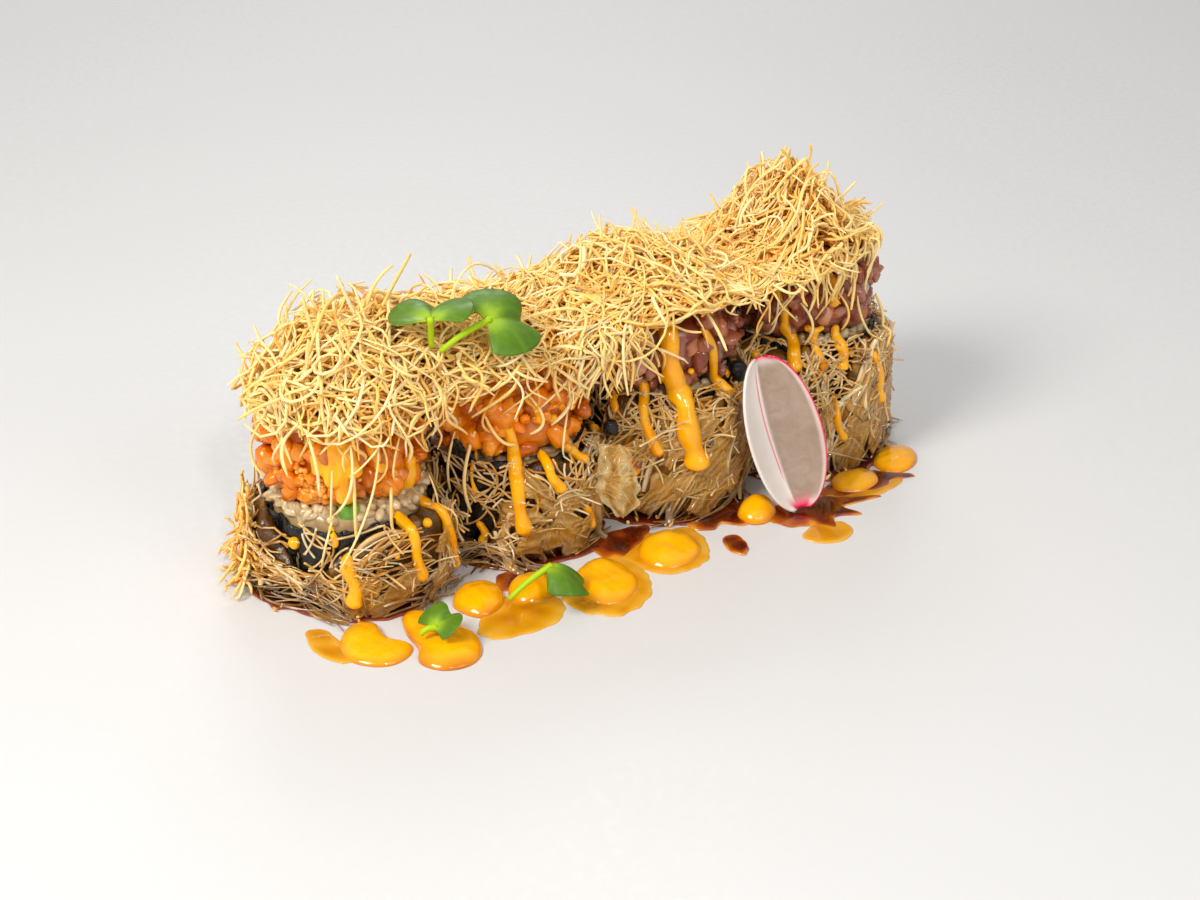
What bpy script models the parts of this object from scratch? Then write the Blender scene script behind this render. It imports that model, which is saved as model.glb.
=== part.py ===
"""Crisp-topped sushi roll: four slices standing on their cut faces in one row.

Each slice is a nori band round seasoned rice, coated in sauced shredded pastry and capped with chopped
fish. One blanket of crisp pastry shreds lies over all four, with sprouts, a radish slice and sauce.
The row runs along X, +Z is up, and the front, with the sauce, faces -Y. Lengths are in metres.
"""

import math
from dataclasses import dataclass

import bpy
import numpy as np
from mathutils import Matrix

# Driving dimensions
NORI_RADIUS = 0.0193  # mean outer radius of a nori band
NORI_SQUEEZE = 0.0007  # how much narrower the band is along the row than across it
NORI_THICKNESS = 0.0006
GAP = 0.0003  # clearance between pieces that touch
FLAP_LEAN = 0.0020
RIM_CLEARANCE = 0.0014  # of the fish over the uneven rim of the nori
COAT_THICKNESS = 0.0042  # shredded pastry round the nori, where nothing presses on it
SHRED_RADIUS = 0.00058
SHRED_SIDES = 3
LOWEST_SHRED = 0.0052  # clear of the sauce round the foot
BAND_SIDES = 28
FRONT = math.radians(-122.0)  # the side of each slice that shows most, as an angle about its own axis
BLANKET_HALF_WIDTH = 0.0222
BLANKET_OVERHANG = (0.0212, 0.0185)  # how far it reaches past the axes of the first and last slices
ORIGIN = (-0.0004, -0.0124)  # middle of the whole footprint, seen from the middle of the row


@dataclass(frozen=True)
class Slice:
    """One standing slice of the roll. Angles are degrees from FRONT, positive towards +X."""

    number: int
    x: float
    y: float
    height: float  # top of the nori band
    rice_rise: float  # how far the rice domes above the band
    fish: str
    fish_radius: float
    fish_top: float
    fish_shift: tuple  # of the fish's axis from the slice's axis
    window: tuple  # middle, half width, and height of coat left where the nori shows
    flap: tuple  # middle, half width and height of the nori's loose end above the rim
    left: float  # contact plane with the neighbour, or None at a free end
    right: float


def row_of_slices():
    """The four slices, with contact planes midway between neighbours."""
    places = (-0.0634, -0.0227, 0.0196, 0.0630)
    planes = [None] + [(a + b) / 2 for a, b in zip(places, places[1:])] + [None]
    rows = (
        (0.0202, 0.0036, "salmon", 0.0178, 0.0452, (-0.0004, 0.0012), (-24, 30, 0.0085), (75, 12, 0.0)),
        (0.0250, -0.0006, "salmon", 0.0200, 0.0495, (0.0004, -0.0004), (-16, 24, 0.0050), (-26, 9, 0.0070)),
        (0.0315, -0.0010, "tuna", 0.0202, 0.0520, (0.0002, -0.0004), (-46, 15, 0.0120), (-60, 8, 0.0)),
        (0.0345, -0.0010, "tuna", 0.0192, 0.0565, (-0.0006, -0.0004), (24, 14, 0.0180), (90, 8, 0.0)),
    )
    across = (0.0, 0.0005, 0.0004, 0.0)
    return [
        Slice(i + 1, places[i], across[i], *rows[i], planes[i], planes[i + 1]) for i in range(len(places))
    ]


SLICES = row_of_slices()
ROW_ENDS = (SLICES[0].x - BLANKET_OVERHANG[0], SLICES[-1].x + BLANKET_OVERHANG[1])

# Height of the blanket's lower edge and of its top, at places along the row
EDGE_HEIGHTS = ((-0.085, 0.0440), (-0.0634, 0.0445), (-0.0227, 0.0490), (0.0196, 0.0520), (0.063, 0.0570))
TOP_HEIGHTS = (
    (-0.085, 0.0560), (-0.078, 0.0620), (-0.063, 0.0650), (-0.042, 0.0615), (-0.025, 0.0590),
    (-0.005, 0.0600), (0.010, 0.0638), (0.024, 0.0615), (0.036, 0.0560), (0.045, 0.0590),
    (0.052, 0.0690), (0.060, 0.0768), (0.067, 0.0745), (0.078, 0.0650), (0.085, 0.0600),
)
BACK_FALL = 1.5  # how steeply the blanket drops towards the back, against 0.75 at the front

# Mayonnaise drips: slice, angle from FRONT, top, foot, half width. A drip over a rim is cut there.
DRIPS = (
    (1, -7, 0.0415, 0.0262, 0.0030), (1, 0, 0.0142, 0.0025, 0.0021), (1, 34, 0.0175, 0.0045, 0.0018),
    (1, 70, 0.0185, 0.0030, 0.0020), (2, 10, 0.0232, 0.0098, 0.0029), (2, 32, 0.0226, 0.0165, 0.0018),
    (3, 2, 0.0295, 0.0176, 0.0019), (3, 23, 0.0475, 0.0345, 0.0028), (3, 23, 0.0295, 0.0151, 0.0029),
    (4, 2, 0.0510, 0.0385, 0.0020), (4, 31, 0.0510, 0.0385, 0.0019), (4, 66, 0.0290, 0.0158, 0.0019),
    (4, 30, 0.0190, 0.0060, 0.0017),
)

# Shreds that stick out of a coat's free end: angle from FRONT, height, and how far the tip drops
STRAYS = {
    1: ((-84, 0.0105, 0.0050), (-76, 0.0070, -0.0010), (-70, 0.0125, 0.0070), (-92, 0.0080, 0.0020),
        (-80, 0.0150, 0.0040)),
    4: ((92, 0.0250, 0.0060), (100, 0.0180, -0.0020)),
}

# Mayonnaise on the surface below: place of each pool's middle, half length, half width, turn, height
POOLS = (
    (-0.0765, -0.0345, 0.0078, 0.0060, -28, 0.0024), (-0.0622, -0.0440, 0.0088, 0.0078, 30, 0.0030),
    (-0.0462, -0.0300, 0.0056, 0.0056, 60, 0.0032), (-0.0335, -0.0325, 0.0062, 0.0048, 25, 0.0030),
    (-0.0178, -0.0400, 0.0088, 0.0074, 40, 0.0026), (0.0015, -0.0340, 0.0074, 0.0064, 35, 0.0034),
    (0.0300, -0.0297, 0.0048, 0.0048, 0, 0.0038), (0.0597, -0.0300, 0.0064, 0.0048, 30, 0.0028),
    (0.0762, -0.0258, 0.0064, 0.0058, 10, 0.0022),
)

# Cucumber sticks that run down through the slice: angle from FRONT, distance from its axis
CUCUMBERS = {1: (8, 0.0148), 2: (52, 0.0148)}
CUCUMBER_HALF = (0.0024, 0.0015)
GRAIN_HALF = (0.0026, 0.0011)  # half the length and half the width of a rice grain

# Shreds that spring far out of the blanket: a point inside it and the tip
TALL_SHREDS = (
    ((-0.0575, -0.0040, 0.0615), (-0.0490, -0.0060, 0.0770)),
    ((0.0575, -0.0020, 0.0680), (0.0520, -0.0050, 0.0815)),
    ((-0.0690, -0.0050, 0.0610), (-0.0735, -0.0060, 0.0720)),
    ((0.0330, -0.0030, 0.0560), (0.0345, -0.0060, 0.0690)),
)

# The thin pieces
STEM_HALF = 0.00065
LEAF_HALF_THICKNESS = 0.00030
RADISH_FOOT = (0.0400, -0.0348, 0.0014)
RADISH_TOP = (0.0340, -0.0236, 0.0385)
RADISH_HALF_WIDTH = 0.0096
RADISH_HALF_THICKNESS = 0.00045
RADISH_FACING = math.radians(-122)  # the way its hollow face looks


@dataclass(frozen=True)
class Sprout:
    """A seed leaf on its stem: where the stem starts, where it meets the leaf, and how the leaf lies."""

    name: str
    root: tuple
    joint: tuple
    heading: float  # of the leaf's length, degrees from +X
    pitch: float  # its slope, degrees above level
    roll: float
    radius: float
    droop: float
    fold: float
    on_top: bool


SPROUTS = (
    Sprout("sprout_top_left", (-0.0490, -0.0165, 0.0590), (-0.0500, -0.0185, 0.0662), 58, 12, -6, 0.0110,
           0.0020, 0.0020, True),
    Sprout("sprout_top_right", (-0.0478, -0.0185, 0.0585), (-0.0378, -0.0212, 0.0642), -4, 8, 24, 0.0122,
           0.0045, 0.0020, True),
    Sprout("sprout_front_left", (-0.0662, -0.0398, 0.0038), (-0.0632, -0.0408, 0.0050), 10, 34, 0, 0.0066,
           0.0010, 0.0010, False),
    Sprout("sprout_front_right", (-0.0430, -0.0380, 0.0042), (-0.0335, -0.0390, 0.0098), -20, 10, -8, 0.0084,
           0.0075, 0.0010, False),
)

COLOURS = {
    "nori": (0.010, 0.012, 0.013), "rice": (0.66, 0.60, 0.50), "cucumber": (0.10, 0.28, 0.03),
    "salmon": (0.85, 0.22, 0.04), "tuna": (0.19, 0.055, 0.04), "coat": (0.42, 0.28, 0.10),
    "crisp": (0.80, 0.55, 0.22), "mayonnaise": (0.95, 0.40, 0.01), "leaf": (0.10, 0.30, 0.03),
    "radish": (0.74, 0.70, 0.64),
}
ROUGHNESS = {
    "nori": 0.3, "rice": 0.35, "cucumber": 0.3, "salmon": 0.25, "tuna": 0.25, "coat": 0.35,
    "crisp": 0.5, "mayonnaise": 0.2, "leaf": 0.4, "radish": 0.35,
}


def material(kind):
    """One plain material for each kind of food."""
    found = bpy.data.materials.get(kind)
    if found:
        return found
    made = bpy.data.materials.new(kind)
    made.use_nodes = True
    shader = made.node_tree.nodes["Principled BSDF"]
    shader.inputs["Base Color"].default_value = (*COLOURS[kind], 1.0)
    shader.inputs["Roughness"].default_value = ROUGHNESS[kind]
    shader.inputs["Metallic"].default_value = 0.0
    return made


def mesh_object(name, points, faces, kind):
    """A mesh object in the shared frame, turned outwards if its faces enclose a negative volume."""
    points = np.asarray(points, float)
    volume = 0.0
    for face in faces:
        fan = points[list(face)]
        volume += sum(float(fan[0] @ np.cross(fan[i], fan[i + 1])) for i in range(1, len(fan) - 1))
    if volume < 0:
        faces = [tuple(reversed(face)) for face in faces]
    mesh = bpy.data.meshes.new(name)
    mesh.from_pydata((points - np.array([*ORIGIN, 0.0])).tolist(), [], faces)
    mesh.update()
    mesh.shade_smooth()
    made = bpy.data.objects.new(name, mesh)
    made.data.materials.append(material(kind))
    bpy.context.scene.collection.objects.link(made)
    return made


def stitched(rows, columns, wrap_rows=False):
    """Quads over a grid of rows that each close on themselves."""
    last = rows if wrap_rows else rows - 1
    return [
        (i * columns + j, i * columns + (j + 1) % columns,
         (i + 1) % rows * columns + (j + 1) % columns, (i + 1) % rows * columns + j)
        for i in range(last)
        for j in range(columns)
    ]


def ring_body(name, sections, kind):
    """A closed ring: sections go round it, and each is a closed outline."""
    sections = np.asarray(sections)
    rows, columns = sections.shape[:2]
    return mesh_object(name, sections.reshape(-1, 3), stitched(rows, columns, wrap_rows=True), kind)


def poled_shape(rings):
    """Points and faces of a stack of rings closed by a point at each end, the mean of its last ring."""
    rings = np.asarray(rings)
    rows, columns = rings.shape[:2]
    points = np.concatenate([rings.reshape(-1, 3), rings[:1].mean(1), rings[-1:].mean(1)])
    low, high = rows * columns, rows * columns + 1
    faces = stitched(rows, columns)
    for j in range(columns):
        following = (j + 1) % columns
        faces.append((low, following, j))
        faces.append((high, (rows - 1) * columns + j, (rows - 1) * columns + following))
    return points, faces


def tube_shape(path, radii, sides):
    """Points and faces of a round-ended tube of few sides along a path."""
    path = np.asarray(path, float)
    along = np.gradient(path, axis=0)
    along /= np.linalg.norm(along, axis=1)[:, None]
    side = np.cross(along[0], (0.31, 0.52, 0.79))
    rings = []
    for point, way, radius in zip(path, along, radii):
        side = side - way * (side @ way)
        side /= np.linalg.norm(side)
        other = np.cross(way, side)
        angles = np.arange(sides) * 2 * math.pi / sides
        rings.append(point + radius * (np.outer(np.cos(angles), side) + np.outer(np.sin(angles), other)))
    rings = np.asarray(rings)
    points = rings.reshape(-1, 3)
    last = (len(rings) - 1) * sides
    caps = [tuple(range(sides))[::-1], tuple(range(last, last + sides))]
    return points, stitched(len(rings), sides) + caps


def fused(core, shapes):
    """The core with every shape joined to it by one Boolean union. Scraps that miss it are dropped."""
    extras = bpy.data.collections.new(core.name + "_extras")
    bpy.context.scene.collection.children.link(extras)
    for i, (points, faces) in enumerate(shapes):
        piece = mesh_object(f"{core.name}_extra_{i}", points, faces, core.data.materials[0].name)
        bpy.context.scene.collection.objects.unlink(piece)
        extras.objects.link(piece)
    union = core.modifiers.new("join", "BOOLEAN")
    union.operation = "UNION"
    union.operand_type = "COLLECTION"
    union.collection = extras
    union.solver = "MANIFOLD"
    graph = bpy.context.evaluated_depsgraph_get()
    joined = bpy.data.meshes.new_from_object(core.evaluated_get(graph))
    core.modifiers.clear()
    core.data = largest_island(joined)
    for piece in list(extras.objects):
        bpy.data.objects.remove(piece)
    bpy.data.collections.remove(extras)
    return core


def largest_island(mesh):
    """The mesh without the loose parts that are smaller than its largest."""
    parent = np.arange(len(mesh.vertices))

    def root(i):
        while parent[i] != i:
            parent[i] = parent[parent[i]]
            i = parent[i]
        return i

    for edge in mesh.edges:
        parent[root(edge.vertices[0])] = root(edge.vertices[1])
    roots = np.array([root(i) for i in range(len(parent))])
    names, counts = np.unique(roots, return_counts=True)
    keep = roots == names[counts.argmax()]
    index = np.cumsum(keep) - 1
    faces = [
        tuple(int(index[v]) for v in polygon.vertices)
        for polygon in mesh.polygons
        if keep[polygon.vertices[0]]
    ]
    made = bpy.data.meshes.new(mesh.name + "_whole")
    made.from_pydata([tuple(v.co) for v, kept in zip(mesh.vertices, keep) if kept], [], faces)
    made.materials.append(mesh.materials[0])
    made.shade_smooth()
    made.set_sharp_from_angle(angle=math.radians(50))
    return made


def near(angle, middle, half_width):
    """A smooth bump: 1 at the middle and 0 beyond twice the half width, in degrees from FRONT."""
    off = (np.degrees(angle - FRONT) - middle + 180) % 360 - 180
    return np.exp(-((off / half_width) ** 2) * 1.6)


def ripple(angle, seed, size):
    """A small uneven wave round a slice, from three sines with phases set by the seed."""
    phases = np.random.default_rng(seed).uniform(0, 2 * math.pi, 3)
    waves = ((1.0, 3), (0.6, 5), (0.4, 9))
    return size * sum(share * np.sin(k * angle + phase) for (share, k), phase in zip(waves, phases))


def nori_radius(piece, angle):
    return NORI_RADIUS - NORI_SQUEEZE * np.cos(2 * angle) + ripple(angle, piece.number, 0.00012)


def nori_rim(piece, angle):
    flap = piece.flap[2] * near(angle, piece.flap[0], piece.flap[1])
    return piece.height + ripple(angle, 10 + piece.number, 0.00045) + flap


def coat_radius(piece, angle):
    """Outer radius of the pastry coat: full where the slice is free, pressed flat against a neighbour."""
    window = near(angle, piece.window[0], piece.window[1])
    thick = COAT_THICKNESS * (1 - 0.45 * window) + ripple(angle, 20 + piece.number, 0.00045)
    radius = nori_radius(piece, angle) + GAP + thick
    towards = np.cos(angle)
    for plane, side in ((piece.right, 1.0), (piece.left, -1.0)):
        if plane is not None:
            reach = abs(plane - piece.x) - GAP / 2
            facing = np.maximum(side * towards, 1e-6)
            radius = np.minimum(radius, reach / facing)
    return radius


def coat_top(piece, angle):
    """Height of the coat: near the rim, and low where the nori shows through it."""
    window = near(angle, piece.window[0], piece.window[1])
    full = piece.height - 0.0010 + ripple(angle, 30 + piece.number, 0.0009)
    return full - (full - piece.window[2]) * np.minimum(1, 1.15 * window)


def place(piece, angle, radius, height):
    """Points on a slice at these angles, radii and heights."""
    return np.stack(
        np.broadcast_arrays(piece.x + radius * np.cos(angle), piece.y + radius * np.sin(angle), height), -1
    )


def turn(steps):
    return np.arange(steps) * 2 * math.pi / steps


def nori_band(piece):
    """A thin sheet wrapped once round the rice. A loose end stands up and leans out from it."""
    angle = turn(BAND_SIDES)
    outer = nori_radius(piece, angle)
    rim = nori_rim(piece, angle)
    inner = outer - NORI_THICKNESS
    lean = FLAP_LEAN * near(angle, piece.flap[0], piece.flap[1]) if piece.flap[2] else 0.0
    profile = [(outer, 0.0), (outer + lean, rim), (inner + lean, rim), (inner, 0.0)]
    if piece.flap[2]:
        profile.insert(1, (outer, piece.height - 0.0015))
        profile.insert(4, (inner, piece.height - 0.0015))
    sections = np.stack([place(piece, angle, radius, height) for radius, height in profile], 1)
    return ring_body(f"nori_band_{piece.number}", sections, "nori")


def grain_shape(centre, length, width, heading, tilt):
    """Points and faces of one rice grain as an ellipsoid of six sides."""
    angle = turn(6)
    rings = []
    for latitude in (-0.9, 0.0, 0.9):
        ring = np.stack(
            [np.full(6, math.sin(latitude) * length), np.cos(angle) * math.cos(latitude) * width,
             np.sin(angle) * math.cos(latitude) * width], 1
        )
        rings.append(ring)
    c, s, ct, st = math.cos(heading), math.sin(heading), math.cos(tilt), math.sin(tilt)
    spin = np.array([[c * ct, -s, c * st], [s * ct, c, s * st], [-st, 0, ct]])
    return poled_shape(np.asarray(rings) @ spin.T + np.asarray(centre))


def rice_core(piece):
    """Pressed rice inside the band: flat cut face below, domed on top, with grains where it shows."""
    angle = turn(BAND_SIDES // 2)
    wall = nori_radius(piece, angle) - NORI_THICKNESS - GAP
    top = piece.height
    rings = [
        place(piece, angle, wall, 0.0), place(piece, angle, wall, top - 0.0012),
        place(piece, angle, wall * 0.90, top + piece.rice_rise * 0.55),
        place(piece, angle, wall * 0.78, top + piece.rice_rise),
    ]
    core = mesh_object(f"rice_{piece.number}", *poled_shape(rings), "rice")
    draw = np.random.default_rng(40 + piece.number)
    grains = []
    count = {1: 10}.get(piece.number, 0)
    for offset in np.linspace(-72, 66, count):
        at = FRONT + math.radians(offset)
        radius = NORI_RADIUS - 0.0036 + draw.uniform(-0.0004, 0.0004)
        spot = place(piece, at, radius, top + piece.rice_rise * 0.55)
        if piece.number == 1 and abs(offset - CUCUMBERS[1][0]) < 13:
            continue
        heading, tilt = at + draw.uniform(0.9, 2.2), draw.uniform(-0.4, 0.4)
        grains.append(grain_shape(spot, *GRAIN_HALF, heading, tilt))
    return fused(core, grains) if grains else core


def stick_shape(piece, grow, low, high):
    """A rounded stick down through a slice, made larger all round by grow."""
    offset, radius = CUCUMBERS[piece.number]
    at = FRONT + math.radians(offset)
    middle = place(piece, at, radius, 0.0)
    outline = turn(12)
    across, out = CUCUMBER_HALF[0] + grow, CUCUMBER_HALF[1] + grow
    flat = np.outer(np.cos(outline) * across, (-math.sin(at), math.cos(at), 0))
    flat += np.outer(np.sin(outline) * out, (math.cos(at), math.sin(at), 0))
    rings = [middle + flat + (0, 0, height) for height in (low, (low + high) / 2, high)]
    return poled_shape(rings)


def cut_for_cucumber(rice, piece):
    """Takes the stick's room out of the rice."""
    cutter = mesh_object("cutter", *stick_shape(piece, GAP, -0.002, piece.height + 0.010), "cucumber")
    cut = rice.modifiers.new("cut", "BOOLEAN")
    cut.operation = "DIFFERENCE"
    cut.object = cutter
    cut.solver = "EXACT"
    graph = bpy.context.evaluated_depsgraph_get()
    left = bpy.data.meshes.new_from_object(rice.evaluated_get(graph))
    rice.modifiers.clear()
    rice.data = largest_island(left)
    bpy.data.objects.remove(cutter)


def cucumber(piece):
    top = piece.height + piece.rice_rise + 0.0008
    return mesh_object(f"cucumber_{piece.number}", *stick_shape(piece, 0.0, 0.0, top), "cucumber")


def fish_base(piece):
    clear_of_grains = piece.height + piece.rice_rise + GAP + 0.0012
    return max(clear_of_grains, piece.height + RIM_CLEARANCE)


def fish_axis(piece):
    return np.array([piece.x + piece.fish_shift[0], piece.y + piece.fish_shift[1]])


def dice_directions(seed, count=34):
    """Evenly spread directions with a little scatter, one for each dice of fish that shows."""
    k = np.arange(count) + 0.5
    lift = 1 - 2 * k / count
    swing = k * math.pi * (3 - math.sqrt(5))
    flat = np.sqrt(1 - lift**2)
    ways = np.stack([flat * np.cos(swing), flat * np.sin(swing), lift], 1)
    ways += np.random.default_rng(seed).normal(0, 0.12, ways.shape)
    return ways / np.linalg.norm(ways, axis=1)[:, None]


def fish_radius(piece, ways):
    """Distance of the fish's surface from its middle: a boxy dome, dented between the dice."""
    low, high = fish_base(piece), piece.fish_top
    half = (high - low) * 0.62
    power = 3.0
    flat = np.linalg.norm(ways[..., :2], axis=-1)
    reach = ((flat / piece.fish_radius) ** power + (np.abs(ways[..., 2]) / half) ** power) ** (-1 / power)
    dice = dice_directions(50 + piece.number)
    closest = np.clip(ways @ dice.T, -1, 1).max(-1)
    apart = np.arccos(closest) / math.radians(21)
    return reach * (1 - 0.11 * np.minimum(apart, 1.2) ** 2)


def fish_heap(piece):
    """Chopped fish pressed into a heap, with each dice as a bulge."""
    low, high = fish_base(piece), piece.fish_top
    middle = np.array([*fish_axis(piece), high - (high - low) * 0.62])
    angle = turn(20)
    rings = []
    for latitude in np.radians((-50, -30, -10, 10, 28, 46, 68)):
        ways = np.stack(
            [np.cos(angle) * math.cos(latitude), np.sin(angle) * math.cos(latitude),
             np.full(len(angle), math.sin(latitude))], 1
        )
        reach = fish_radius(piece, ways) * (1 - 0.17 * (piece.flap[2] > 0) * near(angle, *piece.flap[:2]))
        ring = middle + ways * reach[:, None]
        ring[:, 2] = np.maximum(ring[:, 2], low)
        rings.append(ring)
    core = mesh_object(f"{piece.fish}_{piece.number}", *poled_shape(rings), piece.fish)
    drips = [drip_shape(piece, drip, fish_reach) for drip in drips_on(piece) if drip[3] > piece.height]
    return fused(core, drips) if drips else core


def fish_reach(piece, angle, height):
    """How far the fish reaches from the slice's axis at this angle and height."""
    low, high = fish_base(piece), piece.fish_top
    half = (high - low) * 0.62
    lift = (height - (high - half)) / half
    flat = piece.fish_radius * (1 - min(abs(lift), 0.98) ** 3) ** (1 / 3)
    shift = piece.fish_shift[0] * math.cos(angle) + piece.fish_shift[1] * math.sin(angle)
    return flat * 0.95 + shift


def coat_reach(piece, angle, height):
    return float(coat_radius(piece, angle))


def drips_on(piece):
    return [drip for drip in DRIPS if drip[0] == piece.number]


def drip_shape(piece, drip, reach):
    """A run of mayonnaise down a surface, ending in a bead."""
    _, offset, top, foot, half = drip
    angle = FRONT + math.radians(offset)
    steps = 5
    heights = np.linspace(top, foot, steps)
    path = [place(piece, angle, reach(piece, angle, h) + 0.25 * half, h) for h in heights]
    share = np.linspace(0, 1, steps)
    radii = half * (0.62 + 0.25 * np.sin(share * 9 + offset) * (1 - share) + 0.38 * share**2)
    radii[0] = half * 0.4
    radii[-1] = half * 0.55
    return tube_shape(path, radii, 5)


def coat(piece):
    """Shredded pastry round the nori: an uneven ring with shreds lying round it and sticking out."""
    angle = turn(BAND_SIDES)
    inner = nori_radius(piece, angle) + GAP
    outer = coat_radius(piece, angle)
    top = coat_top(piece, angle)
    sections = np.stack(
        [
            place(piece, angle, inner, 0.0), place(piece, angle, inner + (outer - inner) * 0.9, 0.0),
            place(piece, angle, outer, top * 0.25), place(piece, angle, outer - 0.0003, top * 0.85),
            place(piece, angle, inner + (outer - inner) * 0.4, top), place(piece, angle, inner, top * 0.97),
        ],
        1,
    )
    core = ring_body(f"coat_{piece.number}", sections, "coat")
    extras = list(coat_shreds(piece))
    extras += [drip_shape(piece, drip, coat_reach) for drip in drips_on(piece) if drip[3] < piece.height]
    return fused(core, extras)


def coat_shreds(piece, count=12):
    """Shreds that lie round the coat at mixed slopes, spread evenly round its free sides."""
    draw = np.random.default_rng(60 + piece.number)
    steps = 5
    share = np.linspace(-1, 1, steps)
    for i in range(count):
        middle = 2 * math.pi * (i * 0.618034 % 1)
        angle = middle + share * math.radians(draw.uniform(13, 26))
        height = float(coat_top(piece, middle)) * draw.uniform(0.2, 0.92)
        height = height + share * draw.uniform(-0.006, 0.006)
        radius = coat_radius(piece, angle) + 0.0004 + np.abs(share) ** 3 * draw.uniform(0.0003, 0.0016)
        height = np.clip(height, LOWEST_SHRED, piece.height + 0.002)
        path = place(piece, angle, radius, height)
        if inside_row(piece, path):
            yield tube_shape(path, np.full(steps, SHRED_RADIUS), SHRED_SIDES)
    for offset, height, drop in STRAYS.get(piece.number, ()):
        angle = FRONT + math.radians(offset)
        out = 0.5 + 0.5 * share
        radius = coat_radius(piece, angle) - 0.0015 + out * 0.0050
        path = place(piece, angle + out * 0.18, radius, height - drop * out**1.6)
        yield tube_shape(path, np.full(steps, SHRED_RADIUS), SHRED_SIDES)


def inside_row(piece, path):
    """Whether a shred stays on its own side of the planes where slices touch."""
    room = SHRED_RADIUS + GAP / 2
    clear_right = piece.right is None or path[:, 0].max() + room < piece.right
    clear_left = piece.left is None or path[:, 0].min() - room > piece.left
    return clear_right and clear_left


def level(table, x):
    """A height along the row, read from a short table of places and heights."""
    return np.interp(x, [row[0] for row in table], [row[1] for row in table])


def blanket_half_width(x):
    """Half the blanket's width, fuller over each slice and rounded at both ends."""
    middle, half = sum(ROW_ENDS) / 2, (ROW_ENDS[1] - ROW_ENDS[0]) / 2
    rounded = np.maximum(0.0, 1 - np.abs((x - middle) / half) ** 8) ** 0.5
    pitch = (SLICES[-1].x - SLICES[0].x) / (len(SLICES) - 1)
    return BLANKET_HALF_WIDTH * rounded * (0.96 + 0.05 * np.cos((x - SLICES[0].x) / pitch * 2 * math.pi))


def fish_cover(x, y):
    """The lowest height that clears every heap of fish at this place, with the blanket's clearance."""
    height = 0.0
    for piece in SLICES:
        low, high = fish_base(piece), piece.fish_top
        off = math.hypot(x - fish_axis(piece)[0], y - fish_axis(piece)[1]) / (piece.fish_radius + 0.0030)
        if off < 1:
            height = max(height, high - 0.38 * (high - low) * (1 - (1 - off**6) ** (1 / 6)) + 0.0009)
    return height


def blanket_point(x, around):
    """A point of the blanket's outside: around runs over the top from the +Y edge, then back beneath."""
    half = float(blanket_half_width(x))
    edge, top = level(EDGE_HEIGHTS, x), level(TOP_HEIGHTS, x)
    rounded = half / BLANKET_HALF_WIDTH
    y = half * math.cos(around)
    if around <= math.pi:
        lumps = -0.0012 + 0.0010 * math.sin(x * 420 + 3 * math.cos(around)) * math.sin(around)
        fall = 0.75 if around > math.pi / 2 else BACK_FALL
        lift = (top - edge) * (0.35 + 0.65 * min(1, rounded)) * math.sin(around) ** fall
        height = edge + lift + lumps
        return np.array([x, y, max(height, fish_cover(x, y) + 0.0022 * math.sin(around))])
    y *= 0.94
    return np.array([x, y, max(edge - 0.0008, fish_cover(x, y))])


def blanket_stations():
    inset = 0.0006
    share = np.linspace(-1, 1, 31)
    eased = np.sign(share) * (1 - (1 - np.abs(share)) ** 1.15)
    return sum(ROW_ENDS) / 2 + eased * ((ROW_ENDS[1] - ROW_ENDS[0]) / 2 - inset)


def blanket():
    """The crisp shreds as one heap: a bare core that rests on the fish, with shreds fused on."""
    around = np.concatenate([np.linspace(0, math.pi, 8), math.pi + np.linspace(0, math.pi, 5)[1:-1]])
    rings = [[blanket_point(x, a) for a in around] for x in blanket_stations()]
    core = mesh_object("crisp_blanket", *poled_shape(rings), "crisp")
    return fused(core, blanket_shreds())


def lying_shred(x, around, draw):
    """The path of a shred across the blanket's top: its middle sunk in, its ends springing out."""
    steps = 5
    share = np.linspace(-1, 1, steps)
    length = draw.uniform(0.008, 0.015)
    heading = draw.uniform(0, math.pi)
    xs = np.clip(x + share * length * math.cos(heading), ROW_ENDS[0] - 0.002, ROW_ENDS[1] + 0.002)
    arounds = around + share * length * math.sin(heading) / BLANKET_HALF_WIDTH
    kept_xs = np.clip(xs, ROW_ENDS[0] + 0.002, ROW_ENDS[1] - 0.002)
    base = np.array([blanket_point(a, b) for a, b in zip(kept_xs, np.clip(arounds, 0.05, math.pi - 0.05))])
    outward = np.array([0.0, math.cos(around), max(math.sin(around), 0.15)])
    spring = draw.uniform(0.0012, 0.0040, 2)
    lift = np.where(share < 0, spring[0], spring[1]) * np.abs(share) ** 2 - 0.0001
    base[:, 0] = xs
    return base + lift[:, None] * outward


def hanging_shred(x, side, drop):
    """The path of a shred that leaves the blanket's edge and droops outside the fish."""
    share = np.linspace(0, 1, 5)
    half = float(blanket_half_width(x))
    edge = level(EDGE_HEIGHTS, x)
    out = half - 0.0030 + 0.0052 * np.minimum(1, share * 1.8)
    height = edge + 0.0040 - share**1.4 * drop
    sway = 0.0030 * np.sin(share * 3 + x * 900)
    return np.stack([x + sway, side * out, height], 1)


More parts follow.
